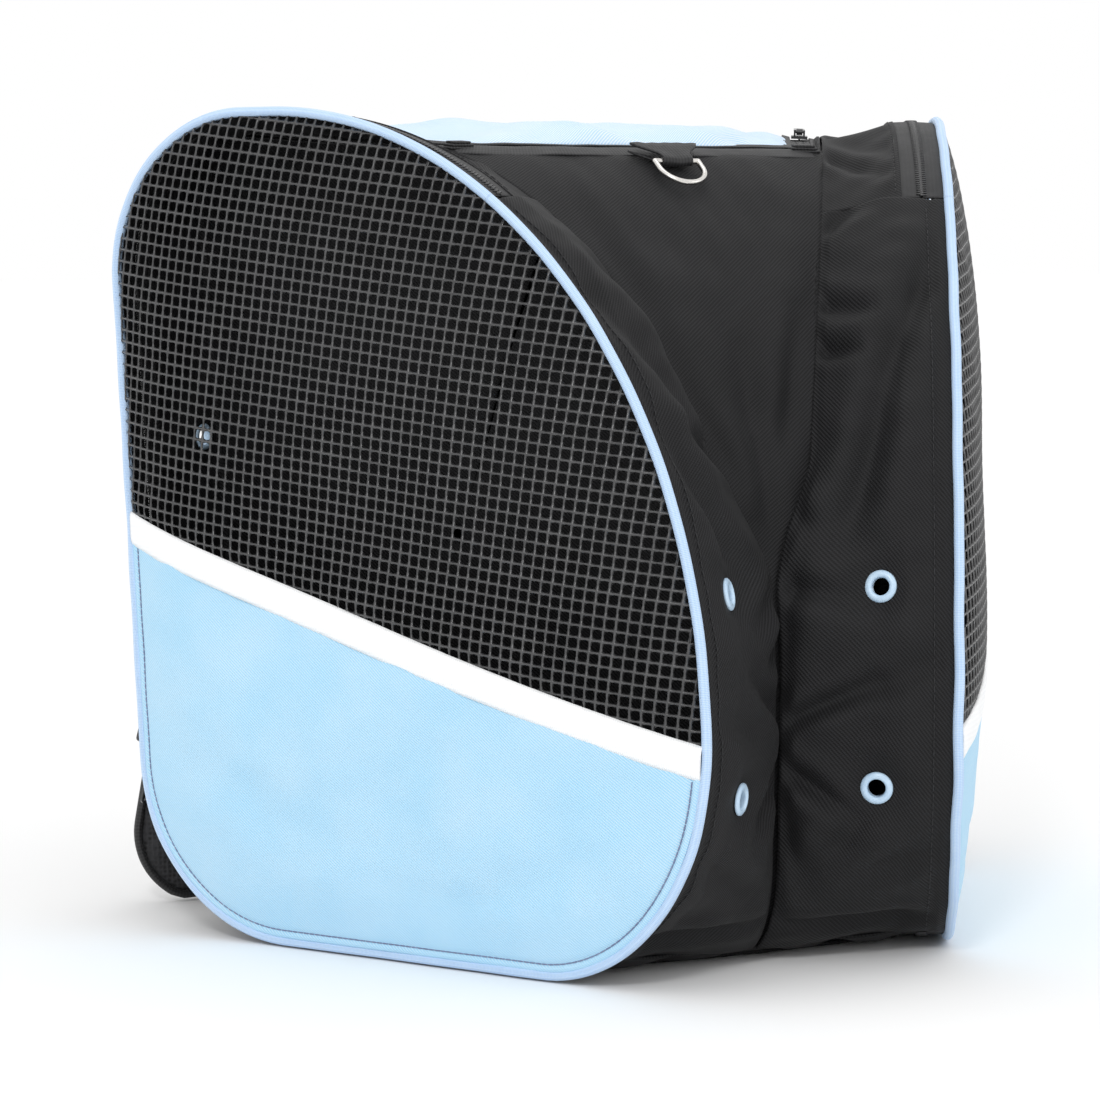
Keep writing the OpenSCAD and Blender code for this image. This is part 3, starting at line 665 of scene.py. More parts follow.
def mesh_window(side, name, fold, outline):
    """Open net of coated threads: lens-shaped threads round rounded holes, clamped to the window."""
    half, hole = MESH_PITCH / 2, (MESH_PITCH - MESH_THREAD) / 2
    n = 90
    lattice = np.array([(i, j) for i in range(-n, n) for j in range(-n, n)], float)
    u = np.array([math.cos(MESH_TURN), math.sin(MESH_TURN)])
    w = np.array([-u[1], u[0]])
    centre = PANEL_CENTRE + MESH_PITCH * (lattice[:, :1] * u + lattice[:, 1:] * w)
    angle = np.arctan2(*(outline - PANEL_CENTRE).T[::-1])
    order = np.argsort(angle)
    radius = np.linalg.norm(outline - PANEL_CENTRE, axis=1)

    def share(xy):
        d = xy - PANEL_CENTRE
        limit = np.interp(np.arctan2(d[:, 1], d[:, 0]), angle[order], radius[order], period=2 * math.pi)
        return np.linalg.norm(d, axis=1) / limit

    floor = STRIPE_RISE - 1.0
    keep = (share(centre) < 1.005) & (centre[:, 1] > stripe_y(centre[:, 0], floor - 1.5))
    lattice = lattice[keep].astype(int)

    ring = [(-1, -1), (0, -1), (1, -1), (1, 0), (1, 1), (0, 1), (-1, 1), (-1, 0)]
    index, points, level = {}, [], []

    def vertex(key, offset, height):
        if key not in index:
            index[key] = len(points)
            points.append(offset)
            level.append(height)
        return index[key]

    faces = []
    rng = np.random.default_rng(31)
    for i, j in lattice:
        base = np.array([2 * i, 2 * j])
        inner = []
        jitter = rng.normal(0, 0.05, 2)
        for q in ring:
            reach = hole * (0.83 if all(q) else 1.0)
            at = (base[0] * half + q[0] * reach + jitter[0], base[1] * half + q[1] * reach + jitter[1])
            inner.append(vertex(("hole", i, j, q), at, 0.0))
        for face in (1, -1):
            outer = []
            for q in ring:
                key = (face, base[0] + q[0], base[1] + q[1])
                crossing = 0.85 if all(q) else 0.66
                outer.append(vertex(key, ((base[0] + q[0]) * half, (base[1] + q[1]) * half), face * crossing))
            for k in range(8):
                m = (k + 1) % 8
                quad = [outer[k], outer[m], inner[m], inner[k]]
                faces.append(quad if face * side > 0 else quad[::-1])
    points = np.array(points)
    xy = PANEL_CENTRE + points[:, :1] * u + points[:, 1:] * w
    s = share(xy)
    over = s > 1
    xy[over] = PANEL_CENTRE + (xy[over] - PANEL_CENTRE) / s[over, None]
    low = stripe_y(xy[:, 0], floor)
    xy[:, 1] = np.maximum(xy[:, 1], low)
    tucked = 1.3 * bell(xy[:, 1] - low, 5) + 0.8 * smooth((s - 0.985) / 0.015)
    depth = panel_n(xy) + 0.5 * ripple(xy, 70, 41) * (1 - s) + np.array(level) - tucked
    p = on_arm(side, xy, depth)
    net = add_object(name + "_mesh_window", p, faces, xy)
    finish_piece(net, fold, VINYL, "mesh", name + "_toe_mesh", name + "_door_mesh")


def edging(side, name, fold):
    """Piping round the panel, and the stitched seam inside it."""
    path = whole_run(0, 0, 3)
    at = on_arm(side, path, ARM_T - 1 + 0.25 * ripple(path, 40, 51))
    piping = tube(name + "_piping", at, np.broadcast_to(arm_dir(side, 0, 0, 1), at.shape), PIPING_R, 14, True)
    finish_piece(piping, fold, PIPING, "piping", name + "_toe_piping", name + "_door_piping")

    path = resampled(below_line(whole_run(0, SEAM_IN, 3), -1.5), step=0.75)
    n = lower_n(path)
    stitches(name + "_panel_seam", side, path, n + 0.05, fold, THREAD_BLUE, "blue_fabric", 0.36, 3.0, 0.45)


def stitches(name, side, path, n, body, material, slot, radius=0.3, length=3.2, space=1.2):
    """A row of stitches along a line on a compartment's panel."""
    at = on_arm(side, path, n)
    return stitch_row(name, at, arm_dir(side, 0, 0, 1), body, material, slot, radius, length, space)


def stitch_row(name, at, out, body, material, slot, radius=0.3, length=3.2, space=1.2):
    out = np.broadcast_to(out, at.shape)
    run = distance_along(at)
    parts = []
    for start in np.arange(0, run[-1] - length, length + space):
        t = np.linspace(start, start + length, 5)
        p = sampled(t, run, at)
        o = unit(sampled(t, run, out))
        p = p + o * (radius * 0.8 * np.sin(np.linspace(0.15, math.pi - 0.15, 5)))[:, None]
        rings = tube_points(p, o, radius, 6)
        parts.append((rings.reshape(-1, 3), tube_faces(5, 6)))
    obj = merged(name, parts)
    fix_normals(obj)
    return finish_piece(obj, body, material, slot)


# ---------------------------------------------------------------- side zippers
def frames_along(side, path, n):
    """Points along a flat run, with the run's direction, the way out of the bag and the depth direction."""
    tangent, out = outward(path, PANEL_CENTRE)
    at = on_arm(side, path, n)
    origin = to_bag(side, TOE_LEAD, 0.0, 0.0)
    along = to_bag(side, TOE_LEAD + tangent[:, 0], tangent[:, 1], 0.0) - origin
    away = to_bag(side, TOE_LEAD + out[:, 0], out[:, 1], 0.0) - origin
    return at, along, away, np.broadcast_to(arm_dir(side, 0, 0, 1), at.shape)


TOOTH_PITCH = 2.0


def coil(name, at, along, away, across, toward, body, phase=0.0):
    """One half of a zipper's coil: rounded loops that reach past the middle between the other half's."""
    run = distance_along(at)
    t = np.arange(1.5 + phase * TOOTH_PITCH, run[-1] - 1.5, TOOTH_PITCH)

    centre = sampled(t, run, at)
    a, o, c = (unit(sampled(t, run, d)) for d in (along, away, across))
    sections = [(-0.8, 0.40, 0.46), (-0.4, 0.485, 0.66), (1.1, 0.47, 0.62), (2.6, 0.40, 0.50)]
    ring = np.radians(np.arange(0, 360, 60))
    verts = []
    for reach, wide, high in sections:
        for q in ring:
            verts.append(centre + a * wide * math.cos(q) + o * (high * math.sin(q) + 0.05)
                         + c * reach * toward)
    verts = np.stack(verts, 1)
    count = len(sections) * 6
    faces = [[x + i * count for x in f] for i in range(len(t)) for f in tube_faces(len(sections), 6)]
    obj = add_object(name, verts.reshape(-1, 3), faces, verts.reshape(-1, 3)[:, :2])
    fix_normals(obj)
    return finish_piece(obj, body, COIL, "zip_tape")


def side_zipper(side, name):
    """Both halves of the zipper round a compartment: ribbed tape and coil."""
    door = name + "_door"
    path = resampled(door_run(0, 0, 2), step=2.0)[1:-1]
    inside = arm_middle(side, CHAIN_N)
    run = np.arange(len(path)) * 2.0
    halves = (("door", CHAIN_N + 0.55, EDGE_N + 1.2, door, 1.0),
              ("fixed", RIM_TAPE_N - 1.2, CHAIN_N - 0.55, "bag", -1.0))
    for label, n0, n1, body, toward in halves:
        v = np.linspace(0, 1, 9)
        depth = mix(n0, n1, v)[:, None] * np.ones(len(path))
        near = v if toward > 0 else 1 - v
        flat = np.stack([run[None] + 0 * depth, depth], -1)
        inset = 0.35 + 0.5 * near[:, None] ** 2 + 0.3 * ripple(flat, 60, 61)
        xy = path[None] - outward(path, PANEL_CENTRE)[1] * inset[..., None]
        p = on_arm(side, xy, depth)
        tape = sheet(name + "_" + label + "_zip_tape", p, flat, inside, 0.8)
        node = name + ("_door_tape" if label == "door" else "_zip_tape")
        finish_piece(tape, body, ZIP_CLOTH, "zip_tape", node)
        at, along, away, across = frames_along(side, path, CHAIN_N)
        coil(name + "_" + label + "_coil", at, along, away, across, toward, body,
             phase=0.0 if toward > 0 else 0.5)


# ---------------------------------------------------------------- gussets of the compartments
def toe_x(w, y):
    """The toe edge's x at height y."""
    if y > TOE_Y:
        r = TOP_X - TOE_LEAD * w
        return TOP_X - r * math.sqrt(1 - ((y - TOE_Y) / (BAG_H - TOE_Y - TOP_RISE * w)) ** 2)
    r = mix(TOE_FOOT, WALL_TOE_FOOT, w)
    d = max(0.0, BASE_T + r[1] - y) / r[1]
    return TOE_LEAD * w + r[0] * (1 - math.sqrt(1 - d * d))


def heel_x(w, y):
    a, b = heel_foot_arc(w, 0, 13)[0], heel_top_arc(w, 0, 90, 9)[8]
    return mix(a[0], b[0], (y - a[1]) / (b[1] - a[1]))


def gusset_n(y, w):
    return mix(GUSSET_N, wall_n(y) + WALL_FOOT_N, w)


def eyelet_places(toe):
    """Centre of each eyelet and its way out, in the arm's frame."""
    out = []
    for y, w in TOE_EYELETS if toe else HEEL_EYELETS:
        edge = toe_x if toe else heel_x

        def at(dw, dy):
            return np.array([edge(w + dw, y + dy), y + dy, gusset_n(y + dy, w + dw)])

        normal = unit(np.cross(at(0.05, 0) - at(-0.05, 0), at(0, 4) - at(0, -4)))
        if (normal[0] < 0) != toe:
            normal = -normal
        out.append((at(0, 0), normal))
    return out


def gusset(side, name, toe):
    """Soft wall between the outer panel's edge and the inner wall, with its folds, seams and eyelet holes."""
    outer_n = EDGE_N + 1.0 if toe else GUSSET_N + 1.0
    run = toe_run if toe else door_run
    cols, rows = (330, 52) if toe else (460, 44)
    places = eyelet_places(toe)
    xy, n = [], []
    for t in np.linspace(0, 1, rows):
        if toe:
            near = (EDGE_N - GUSSET_N) / (EDGE_N - GUSSET_N + 60)
            w = max(0.0, (t - near) / (1 - near))
            path = resampled(run(w, 0, 2), cols)
            level = mix(outer_n, GUSSET_N, t / near) if t < near else gusset_n(path[:, 1], w)
        else:
            path = resampled(run(t, 0, 2), cols)
            level = mix(outer_n, wall_n(path[:, 1]) + WALL_FOOT_N, t)
        xy.append(path)
        n.append(np.broadcast_to(level, cols))
    xy, n = np.array(xy), np.array(n)
    p = np.concatenate([xy, n[..., None]], -1)
    out = grid_normals(p, (*PANEL_CENTRE, 45.0))
    along = np.linspace(0, 1, cols)[None] * np.linalg.norm(np.diff(xy[0], axis=0), axis=1).sum()
    depth = outer_n - n
    flat = np.stack([along + 0 * depth, depth], -1)
    by_height = np.stack([xy[..., 1], depth], -1)
    t = np.linspace(0, 1, rows)[:, None]
    settle = smooth(t / 0.16) * smooth((1 - t) / 0.10)
    body = 1.0 * ripple(flat, 70, 71 + toe) + 0.40 * ripple(flat, 24, 73 + toe)
    if toe:
        body = body + 3.2 * np.sin(np.pi * t) * smooth(xy[..., 1] / 60) + creases(by_height, TOE_FOLDS[side])
    else:
        puff = mix(2.2, -3.4, smooth((xy[..., 1] - 350) / 45))
        body = body + puff * np.sin(np.pi * t) ** 0.8 + creases(flat, HEEL_FOLDS)
    lift = settle * body
    if toe:
        # the tape strip beside the piping ends in a seam
        lift = lift - 0.8 * bell(depth - 7.5, 1.3) + 0.4 * bell(depth - 4.5, 2.0)
    keep = np.ones(lift.shape, bool)
    for centre, _ in places:
        dist = np.linalg.norm(p - centre, axis=-1)
        lift = lift * (1 - np.exp(-((dist / 15) ** 2) ** 1.5)) - 0.5 * bell(dist, 12)
        keep &= dist > 5.2
    q = p + out * lift[..., None]
    q[..., 1] = np.maximum(q[..., 1], 1.6)
    points = on_arm(side, q, q[..., 2])
    if toe:
        # low down the two gussets close over the front panel and meet in one seam
        reach = smooth((250 - points[..., 2]) / 70) * smooth((t - 0.4) / 0.6)
        points[..., 0] -= side * reach * np.maximum(np.abs(points[-1:, :, 0]) - 1.2, 0)
        points[..., 1] -= 1.0 * reach * smooth((1 - t) / 0.06)
    label = name + ("_toe_gusset" if toe else "_zip_gusset")
    obj = sheet(label + "_cloth", points, flat, arm_middle(side, 45.0), 1.5, keep)
    finish_piece(obj, "bag", BLACK, "black_fabric", label)
    row = 6 if toe else 3
    stitch_row(label + "_stitches", points[row][4:-4], unit(points[row] - arm_middle(side, 45.0))[4:-4],
               "bag", THREAD_BLACK, "black_fabric", 0.28)


# Folds of each toe gusset: where they start and end (height, depth from the outer edge), width and depth
TOE_FOLDS = {
    1: (((112, 90), (142, 38), 4.5, 2.6), ((108, 90), (76, 46), 4.5, 2.6), ((112, 90), (205, 64), 6, 2.0),
        ((100, 90), (40, 70), 6, 2.0), ((345, 10), (292, 30), 7, 3.2), ((300, 28), (200, 52), 7, 3.4),
        ((324, 88), (316, 38), 4.5, 2.6), ((300, 88), (297, 46), 4, 2.4), ((346, 80), (374, 40), 5, 2.4),
        ((190, 90), (180, 36), 6, 2.6), ((228, 90), (214, 60), 5, 2.0), ((60, 10), (46, 60), 7, 1.8),
        ((20, 8), (22, 84), 3.5, 2.0), ((156, 10), (132, 46), 8, 2.0), ((44, 72), (84, 34), 6, 2.0)),
    -1: (((116, 90), (146, 44), 5, 2.6), ((110, 90), (70, 52), 5, 2.4), ((240, 90), (262, 34), 6, 2.6),
         ((330, 12), (262, 50), 9, 3.0), ((268, 10), (190, 48), 7, 3.0), ((296, 88), (340, 40), 7, 2.6),
         ((205, 90), (168, 50), 5, 2.4), ((170, 90), (150, 60), 4.5, 2.0), ((20, 8), (24, 84), 3.5, 2.0),
         ((62, 12), (40, 60), 6, 1.8), ((132, 16), (120, 50), 6, 1.6)),
}


# Folds of the heel and top gusset, along the run from the top of the door's fold
HEEL_FOLDS = (((30, 10), (75, 52), 6, 2.0), ((95, 50), (130, 12), 7, 1.8), ((170, 8), (205, 50), 6, 1.8),
              ((330, 50), (380, 14), 8, 1.8), ((470, 12), (520, 48), 8, 1.6), ((620, 50), (655, 12), 8, 1.8),
              ((800, 12), (850, 40), 7, 1.5))


def revolve(profile, centre, axis, steps=48):
    """A closed ring of profile points (radius, height) turned about an axis."""
    axis = unit(np.asarray(axis, float))
    side_dir = unit(np.cross(axis, (0.0, 0.0, 1.0) if abs(axis[2]) < 0.9 else (1.0, 0.0, 0.0)))
    other = np.cross(axis, side_dir)
    a = np.linspace(0, 2 * math.pi, steps, endpoint=False)
    ring = np.cos(a)[:, None] * side_dir + np.sin(a)[:, None] * other
    profile = np.asarray(profile, float)
    verts = centre + ring[:, None] * profile[None, :, :1] + axis * profile[None, :, 1:]
    m = len(profile)
    faces = [[i * m + j, i * m + (j + 1) % m, ((i + 1) % steps) * m + (j + 1) % m, ((i + 1) % steps) * m + j]
             for i in range(steps) for j in range(m)]
    return verts.reshape(-1, 3), faces


def eyelets(side, name):
    """Enamelled eyelets: a rounded flange outside, a barrel through the cloth and a washer inside."""
    r, h = EYELET_R, EYELET_HOLE_R
    profile = [(h, 0.6), (h + 0.25, 1.5), (h + 1.2, 2.05), (r - 1.2, 1.75), (r - 0.25, 1.1), (r, 0.35),
               (r - 0.3, 0.1), (h + 1.0, 0.1), (h + 1.0, -2.3), (r - 1.4, -2.4), (r - 1.2, -3.0),
               (h + 0.3, -3.3), (h, -2.6)]
    parts = []
    for toe in (True, False):
        for centre, normal in eyelet_places(toe):
            verts, faces = revolve(profile, centre, normal)
            parts.append((on_arm(side, verts, verts[:, 2]), faces))
    obj = merged(name + "_eyelet_rings", parts)
    fix_normals(obj)
    return finish_piece(obj, "bag", EYELET, "eyelet_blue", name + "_eyelets")


def divider(side, name):
    """Inner wall of a compartment."""
    rim = resampled(whole_run(1, 0, 1), 220)
    s = np.linspace(0.02, 1, 50)[:, None, None]
    xy = WALL_CENTRE + (rim[None] - WALL_CENTRE) * s
    n = wall_n(xy[..., 1]) + 1.6 + 1.2 * ripple(xy, 80, 91) * (1 - s[..., 0] ** 6)
    p = on_arm(side, xy, n)
    obj = sheet(name + "_divider_cloth", p, xy, to_bag(side, *WALL_CENTRE, -60.0), 1.2)
    return finish_piece(obj, "bag", BLACK, "black_fabric", name + "_divider")


# ---------------------------------------------------------------- centre compartment
def front_edge():
    return np.concatenate([toe_foot_arc(1, 0, -90, -180, 60), toe_arc(1, 0, 180, FRONT_TOP_A, 160)[1:]])


def back_edge():
    return joined(heel_top_arc(1, 0, 84, 30), heel_foot_arc(1, 0, 40), gaps=(150,))


def across(edge, count, out):
    """Rows from the left to the right inner wall along an edge of (x, height) points."""
    right = on_arm(1, edge, wall_n(edge[:, 1]) + out)
    s = np.linspace(-1, 1, count)
    rows = np.repeat(right[:, None], count, axis=1)
    rows[..., 0] *= s[None]
    return rows, s


def wall_between(name, node, edge, count, inside, shape):
    """Cloth between the two inner walls; shape gives its lift from the plain surface."""
    p, s = across(edge, count, WALL_FOOT_N + 0.6)
    run = distance_along(p[:, count // 2])
    flat = pairs(p[..., 0], run[:, None])
    lift = shape(p, s, run)
    q = p + grid_normals(p, inside) * lift[..., None]
    q[..., 2] = np.maximum(q[..., 2], 1.6)
    obj = sheet(name, q, flat, inside, 1.5)
    finish_piece(obj, "bag", BLACK, "black_fabric", node)


def front_shape(p, s, run):
    half = np.abs(p[:, -1:, 0])
    free = (1 - s ** 2)[None] * smooth(half / 30)
    height = p[..., 2]
    ends = smooth(run / 20)[:, None] * smooth((run[-1] - run) / 14)[:, None]
    q = np.stack([p[..., 0], height], -1)
    folds = creases(q, (((0, 120), (-26, 210), 5, 2.2), ((4, 150), (34, 235), 5, 2.2),
                        ((-60, 365), (-30, 270), 8, 2.0), ((70, 355), (28, 262), 8, 2.2),
                        ((0, 205), (3, 300), 7, 2.0), ((-44, 300), (-16, 236), 6, 2.4),
                        ((40, 318), (14, 250), 6, 2.4), ((-70, 340), (-50, 300), 5, 2.0)))
    sag = -3.0 * free * smooth((height - 180) / 120) * (1 - smooth((height - 340) / 40))
    hidden = -3.5 * (1 - smooth((height - 200) / 50))
    return ends * (sag + hidden + free ** 0.5 * (folds + 0.9 * ripple(q, 65, 101) + 0.3 * ripple(q, 22, 102)))


def back_shape(p, s, run):
    free = (1 - s ** 2)[None]
    ends = smooth(run / 25)[:, None] * smooth((run[-1] - run) / 25)[:, None]
    q = np.stack([p[..., 0], p[..., 2]], -1)
    return ends * free ** 0.5 * (-1.2 + 0.5 * ripple(q, 60, 111) + 0.2 * ripple(q, 22, 112))


def base():
    """Base panel, a little uneven."""
    half = np.array([to_bag(1, 47.0, 0, 0)[:2], to_bag(1, 90.0, 0, GUSSET_N)[:2],
                     to_bag(1, 243.0, 0, GUSSET_N)[:2], to_bag(1, 288.0, 0, 0)[:2]])
    edge = resampled(half, 120)
    s = np.linspace(-1, 1, 90)
    xy = np.stack([edge[:, None, 0] * s, edge[:, None, 1] + 0 * s], -1)
    lift = 0.7 + 0.35 * ripple(xy, 45, 121) * (1 - s[None] ** 2)
    p = np.concatenate([xy, np.maximum(lift, 0.15)[..., None]], -1)
    obj = sheet("base_cloth", p, xy, (0, 0, 100), 1.6)
    finish_piece(obj, "bag", BLACK, "black_fabric", "base_panel")


# ---------------------------------------------------------------- lid
HINGE = to_bag(1, PANEL_LEN - WALL_HEEL_TOP_R, BAG_H - TOP_RISE, wall_n(BAG_H - TOP_RISE))
FRONT_EDGE_END = toe_arc(1, 0, FRONT_TOP_A, FRONT_TOP_A, 1)[0]
FRONT = to_bag(1, FRONT_EDGE_END[0], FRONT_EDGE_END[1], wall_n(FRONT_EDGE_END[1]))
LID_PITCH = math.atan2(HINGE[2] - FRONT[2], HINGE[1] - FRONT[1])
LID_LEN = math.hypot(HINGE[1] - FRONT[1], HINGE[2] - FRONT[2])
RIM_TAPE_W = 8.0
LID_TAPE_K = GAP + RIM_TAPE_W + ZIP_GAP
LID_PANEL_K = LID_TAPE_K + RIM_TAPE_W + GAP
LID_CHAIN_K = GAP + RIM_TAPE_W + ZIP_GAP / 2
LID_CROWN = 9.5
LID_TAPE_BACK = -24.0  # the lid's half of the zip ends in front of the parked sliders


def from_lid(x, y, z):
    c, s = math.cos(LID_PITCH), math.sin(LID_PITCH)
    return pairs(x, y * c - z * s + HINGE[1], y * s + z * c + HINGE[2])


def lid_half_w(y, k):
    return mix(HINGE[0], FRONT[0], -y / LID_LEN) - k


def lid_path(k, back=-1.0, corner=11.0, count=None):
    """U-shaped run round the lid at inset k, with rounded front corners: left side, front, right side."""
    front = -LID_LEN + k
    r = max(corner - k, 2.0)
    right = np.array([lid_half_w(front, k), front])
    back_right = np.array([lid_half_w(back, k), back])
    d = unit(back_right - right)
    start, end = right + d * r, right + np.array([-r, 0.0])
    half = np.concatenate([back_right[None], bezier(start, right, end, 14)])
    left = half[::-1] * np.array([-1, 1])
    path = np.concatenate([half, left])[::-1]
    return resampled(path, count=count or 420)


def lid_lift(y):
    """How far the tapes stand up: not at all along the sliders' travel, fully at the front."""
    return smooth((-y - 103) / 42)


def lid_band(name, body, k0, k1, material, slot, wave, flat_z, lifted, node=None, back=-1.0):
    """A band of tape round the lid's opening between insets k0 and k1.

    flat_z and lifted hold the heights of its two edges beside the sliders and at the front.
    """
    v = np.linspace(0, 1, 9)
    a, b = lid_path(k0, back), lid_path(k1, back)
    xy = mix(a[None], b[None], v[:, None, None])
    run = np.linspace(0, 1, len(a)) * np.linalg.norm(np.diff(a, axis=0), axis=1).sum()
    flat = pairs(run[None], (k0 + v * (k1 - k0))[:, None])
    share = lid_lift(xy[..., 1])
    z = mix(flat_z[0], flat_z[1], v)[:, None] * (1 - share) + mix(lifted[0], lifted[1], v)[:, None] * share
    z = z + wave * (0.3 + share) * (ripple(flat, 34, 131) + 0.4 * ripple(flat, 13, 132))
    p = from_lid(xy[..., 0], xy[..., 1], z)
    obj = sheet(name, p, flat, LID_INSIDE, 0.9)
    nodes = (node,) if node else ()
    finish_piece(obj, body, material, slot, *nodes)
    return p


def lid_crown(u, v):
    return LID_CROWN * np.sqrt(np.clip(np.sin(np.pi * u) * np.sin(np.pi * v), 0, 1))


def lid():
    v = np.linspace(0, 1, 90)[:, None]
    u = np.linspace(0, 1, 120)[None]
    front = -LID_LEN + LID_PANEL_K - 1.5
    y = mix(-1.0, front, v) + 0 * u
    x = mix(-1, 1, u) * lid_half_w(y, LID_PANEL_K - 1.5)
    q = np.stack([x, y], -1)
    edge = smooth(np.minimum(np.minimum(u, 1 - u) * 12, np.minimum(v, 1 - v) * 9))
    folds = creases(q, (((-95, -150), (-40, -95), 10, 2.2), ((60, -160), (20, -90), 11, 2.2),
                        ((-20, -30), (30, -105), 12, 1.8), ((110, -60), (60, -120), 9, 1.6)))
    z = lid_crown(u, v) + edge * (folds + 1.5 * ripple(q, 75, 141) + 0.4 * ripple(q, 24, 142))
    z = z + 9.0 * lid_lift(y) + 1.0
    p = from_lid(x, y, z)
    cloth = sheet("lid_cloth", p, q, LID_INSIDE, 1.4)
    finish_piece(cloth, "lid", LID_BLUE, "blue_fabric", "lid_panel")
    bands = (
        ("lid_zip_tape", "lid", LID_TAPE_K - 0.3, LID_PANEL_K + 1.0, ZIP_CLOTH, "zip_tape", 0.4,
         (0.1, 1.4), (4.2, 8.4), "lid_tape"),
        ("lid_binding", "lid", LID_PANEL_K - 3.0, LID_PANEL_K + 2.0, WEBBING, "black_fabric", 0.6,
         (1.6, 2.6), (8.2, 11.4), None),
        ("rim_zip_tape", "bag", GAP, GAP + RIM_TAPE_W + 0.3, ZIP_CLOTH, "zip_tape", 0.2,
         (0.3, 0.1), (0.6, 4.0), "rim_tape"),
        ("rim_hem", "bag", -9.0, 2.6, WEBBING, "black_fabric", 0.3, (-0.6, 1.2), (-2.2, 2.4), None),
    )
    for name, body, k0, k1, material, slot, wave, flat_z, lifted, node in bands:
        back = LID_TAPE_BACK if name == "lid_zip_tape" else -1.0
        lid_band(name, body, k0, k1, material, slot, wave, flat_z, lifted, node, back)
    path = lid_path(LID_CHAIN_K, LID_TAPE_BACK, count=700)
    at = from_lid(path[:, 0], path[:, 1], -0.2 + 4.6 * lid_lift(path[:, 1]))
    tangent, out = outward(path, np.array([0, -LID_LEN / 2]))
    origin = from_lid(0.0, 0.0, 0.0)
    along = from_lid(tangent[:, 0], tangent[:, 1], 0.0) - origin
    across_dir = from_lid(out[:, 0], out[:, 1], 0.0) - origin
    up = np.broadcast_to(from_lid(0.0, 0.0, 1.0) - origin, at.shape)
    coil("rim_coil", at, along, up, across_dir, 1.0, "bag")
    coil("lid_coil", at, along, up, across_dir, -1.0, "lid", phase=0.5)
    # folded ends of the rim tape over the front corners
    for way in (-1, 1):
        corner = lid_half_w(-LID_LEN, 0)
        parts = []
        for i, (wide, lift) in enumerate(((17, 0.6), (14, 2.0), (11, 3.3))):
            verts, faces = rounded_block((wide, 9 - i, 1.3), 0.5)
            turn = math.radians(-14 * way)
            x = verts[:, 0] * math.cos(turn) - verts[:, 1] * math.sin(turn) + way * (corner - 7)
            yy = verts[:, 0] * math.sin(turn) + verts[:, 1] * math.cos(turn) - LID_LEN + 3.0
            parts.append((from_lid(x, yy, verts[:, 2] + lift), faces))
        ends = merged(("left" if way < 0 else "right") + "_rim_tape_end", parts)
        fix_normals(ends)
        finish_piece(ends, "bag", WEBBING, "black_fabric")


# ---------------------------------------------------------------- hardware
def bevelled(node, material, width=0.25):
    """A CAD node of hard material, with its edges eased."""
    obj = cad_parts[node]
    obj.data.materials.clear()
    obj.data.materials.append(material)
    if width:
        ease = obj.modifiers.new("ease", "BEVEL")
        ease.width = width * MM
        ease.segments = 2
        ease.limit_method = "ANGLE"
    return obj


def hardware():
    for name in SIDES:
        for kind in ("upper", "lower", "lid"):
            bevelled(f"{name}_{kind}_slider", ENAMEL, 0.3)
            bevelled(f"{name}_{kind}_pull", ENAMEL, 0.25)
        bevelled(name + "_ladder_lock", ACETAL, 0.6)
    bevelled("d_ring", NICKEL, 0)
    bevelled("base_board", BOARD, 0.4)
    bevelled("back_board", BOARD, 0.4)


RING_X, RING_LIFT, RING_SLOPE, WIRE_R = 9.0, 6.0, math.radians(36), 1.4
RING_EDGE = toe_arc(1, 0, 111.5, 111.5, 1)[0]
RING_FOOT = to_bag(1, RING_EDGE[0], RING_EDGE[1], wall_n(383.0))
RING_AT = np.array([RING_X, RING_FOOT[1] - RING_LIFT * math.sin(RING_SLOPE),
                    RING_FOOT[2] + RING_LIFT * math.cos(RING_SLOPE)])


def ring_tab():
    """Webbing loop round the ring's bar, widening to the seam under the lid."""
    r = WIRE_R + 1.3
    tilt = 25
    slope = math.radians(tilt)
    upper = [(-math.sin(slope) * r + d * math.cos(slope), math.cos(slope) * r + d * math.sin(slope))
             for d in (17, 13, 9, 5, 1)]
    turn = [(r * math.cos(a), r * math.sin(a)) for a in np.radians(np.linspace(115, 270, 12) + tilt)]
    lower = [(math.sin(slope) * r + d * math.cos(slope), -math.cos(slope) * r + d * math.sin(slope))
             for d in (1, 5, 9, 13, 17)]
    path = np.array(upper + turn + lower)
    reach = np.array([17, 13, 9, 5, 1] + [0] * 12 + [1, 5, 9, 13, 17], float)
    s = np.linspace(-1, 1, 22)
    half = 8.3 + 11.0 * smooth((reach - 2) / 15)
    x = RING_AT[0] + half[:, None] * s[None]
    y = RING_AT[1] + path[:, :1] + 0 * x
    z = RING_AT[2] + path[:, 1:] + 0.25 * ripple(np.stack([x, y], -1), 9, 151)
    p = np.stack([x, y, z], -1)
    run = distance_along(path)
    flat = pairs(x, run[:, None])
    obj = sheet("ring_tab", p, flat, tuple(RING_AT), 1.1)
    finish_piece(obj, "bag", WEBBING, "webbing", "d_ring_tab")


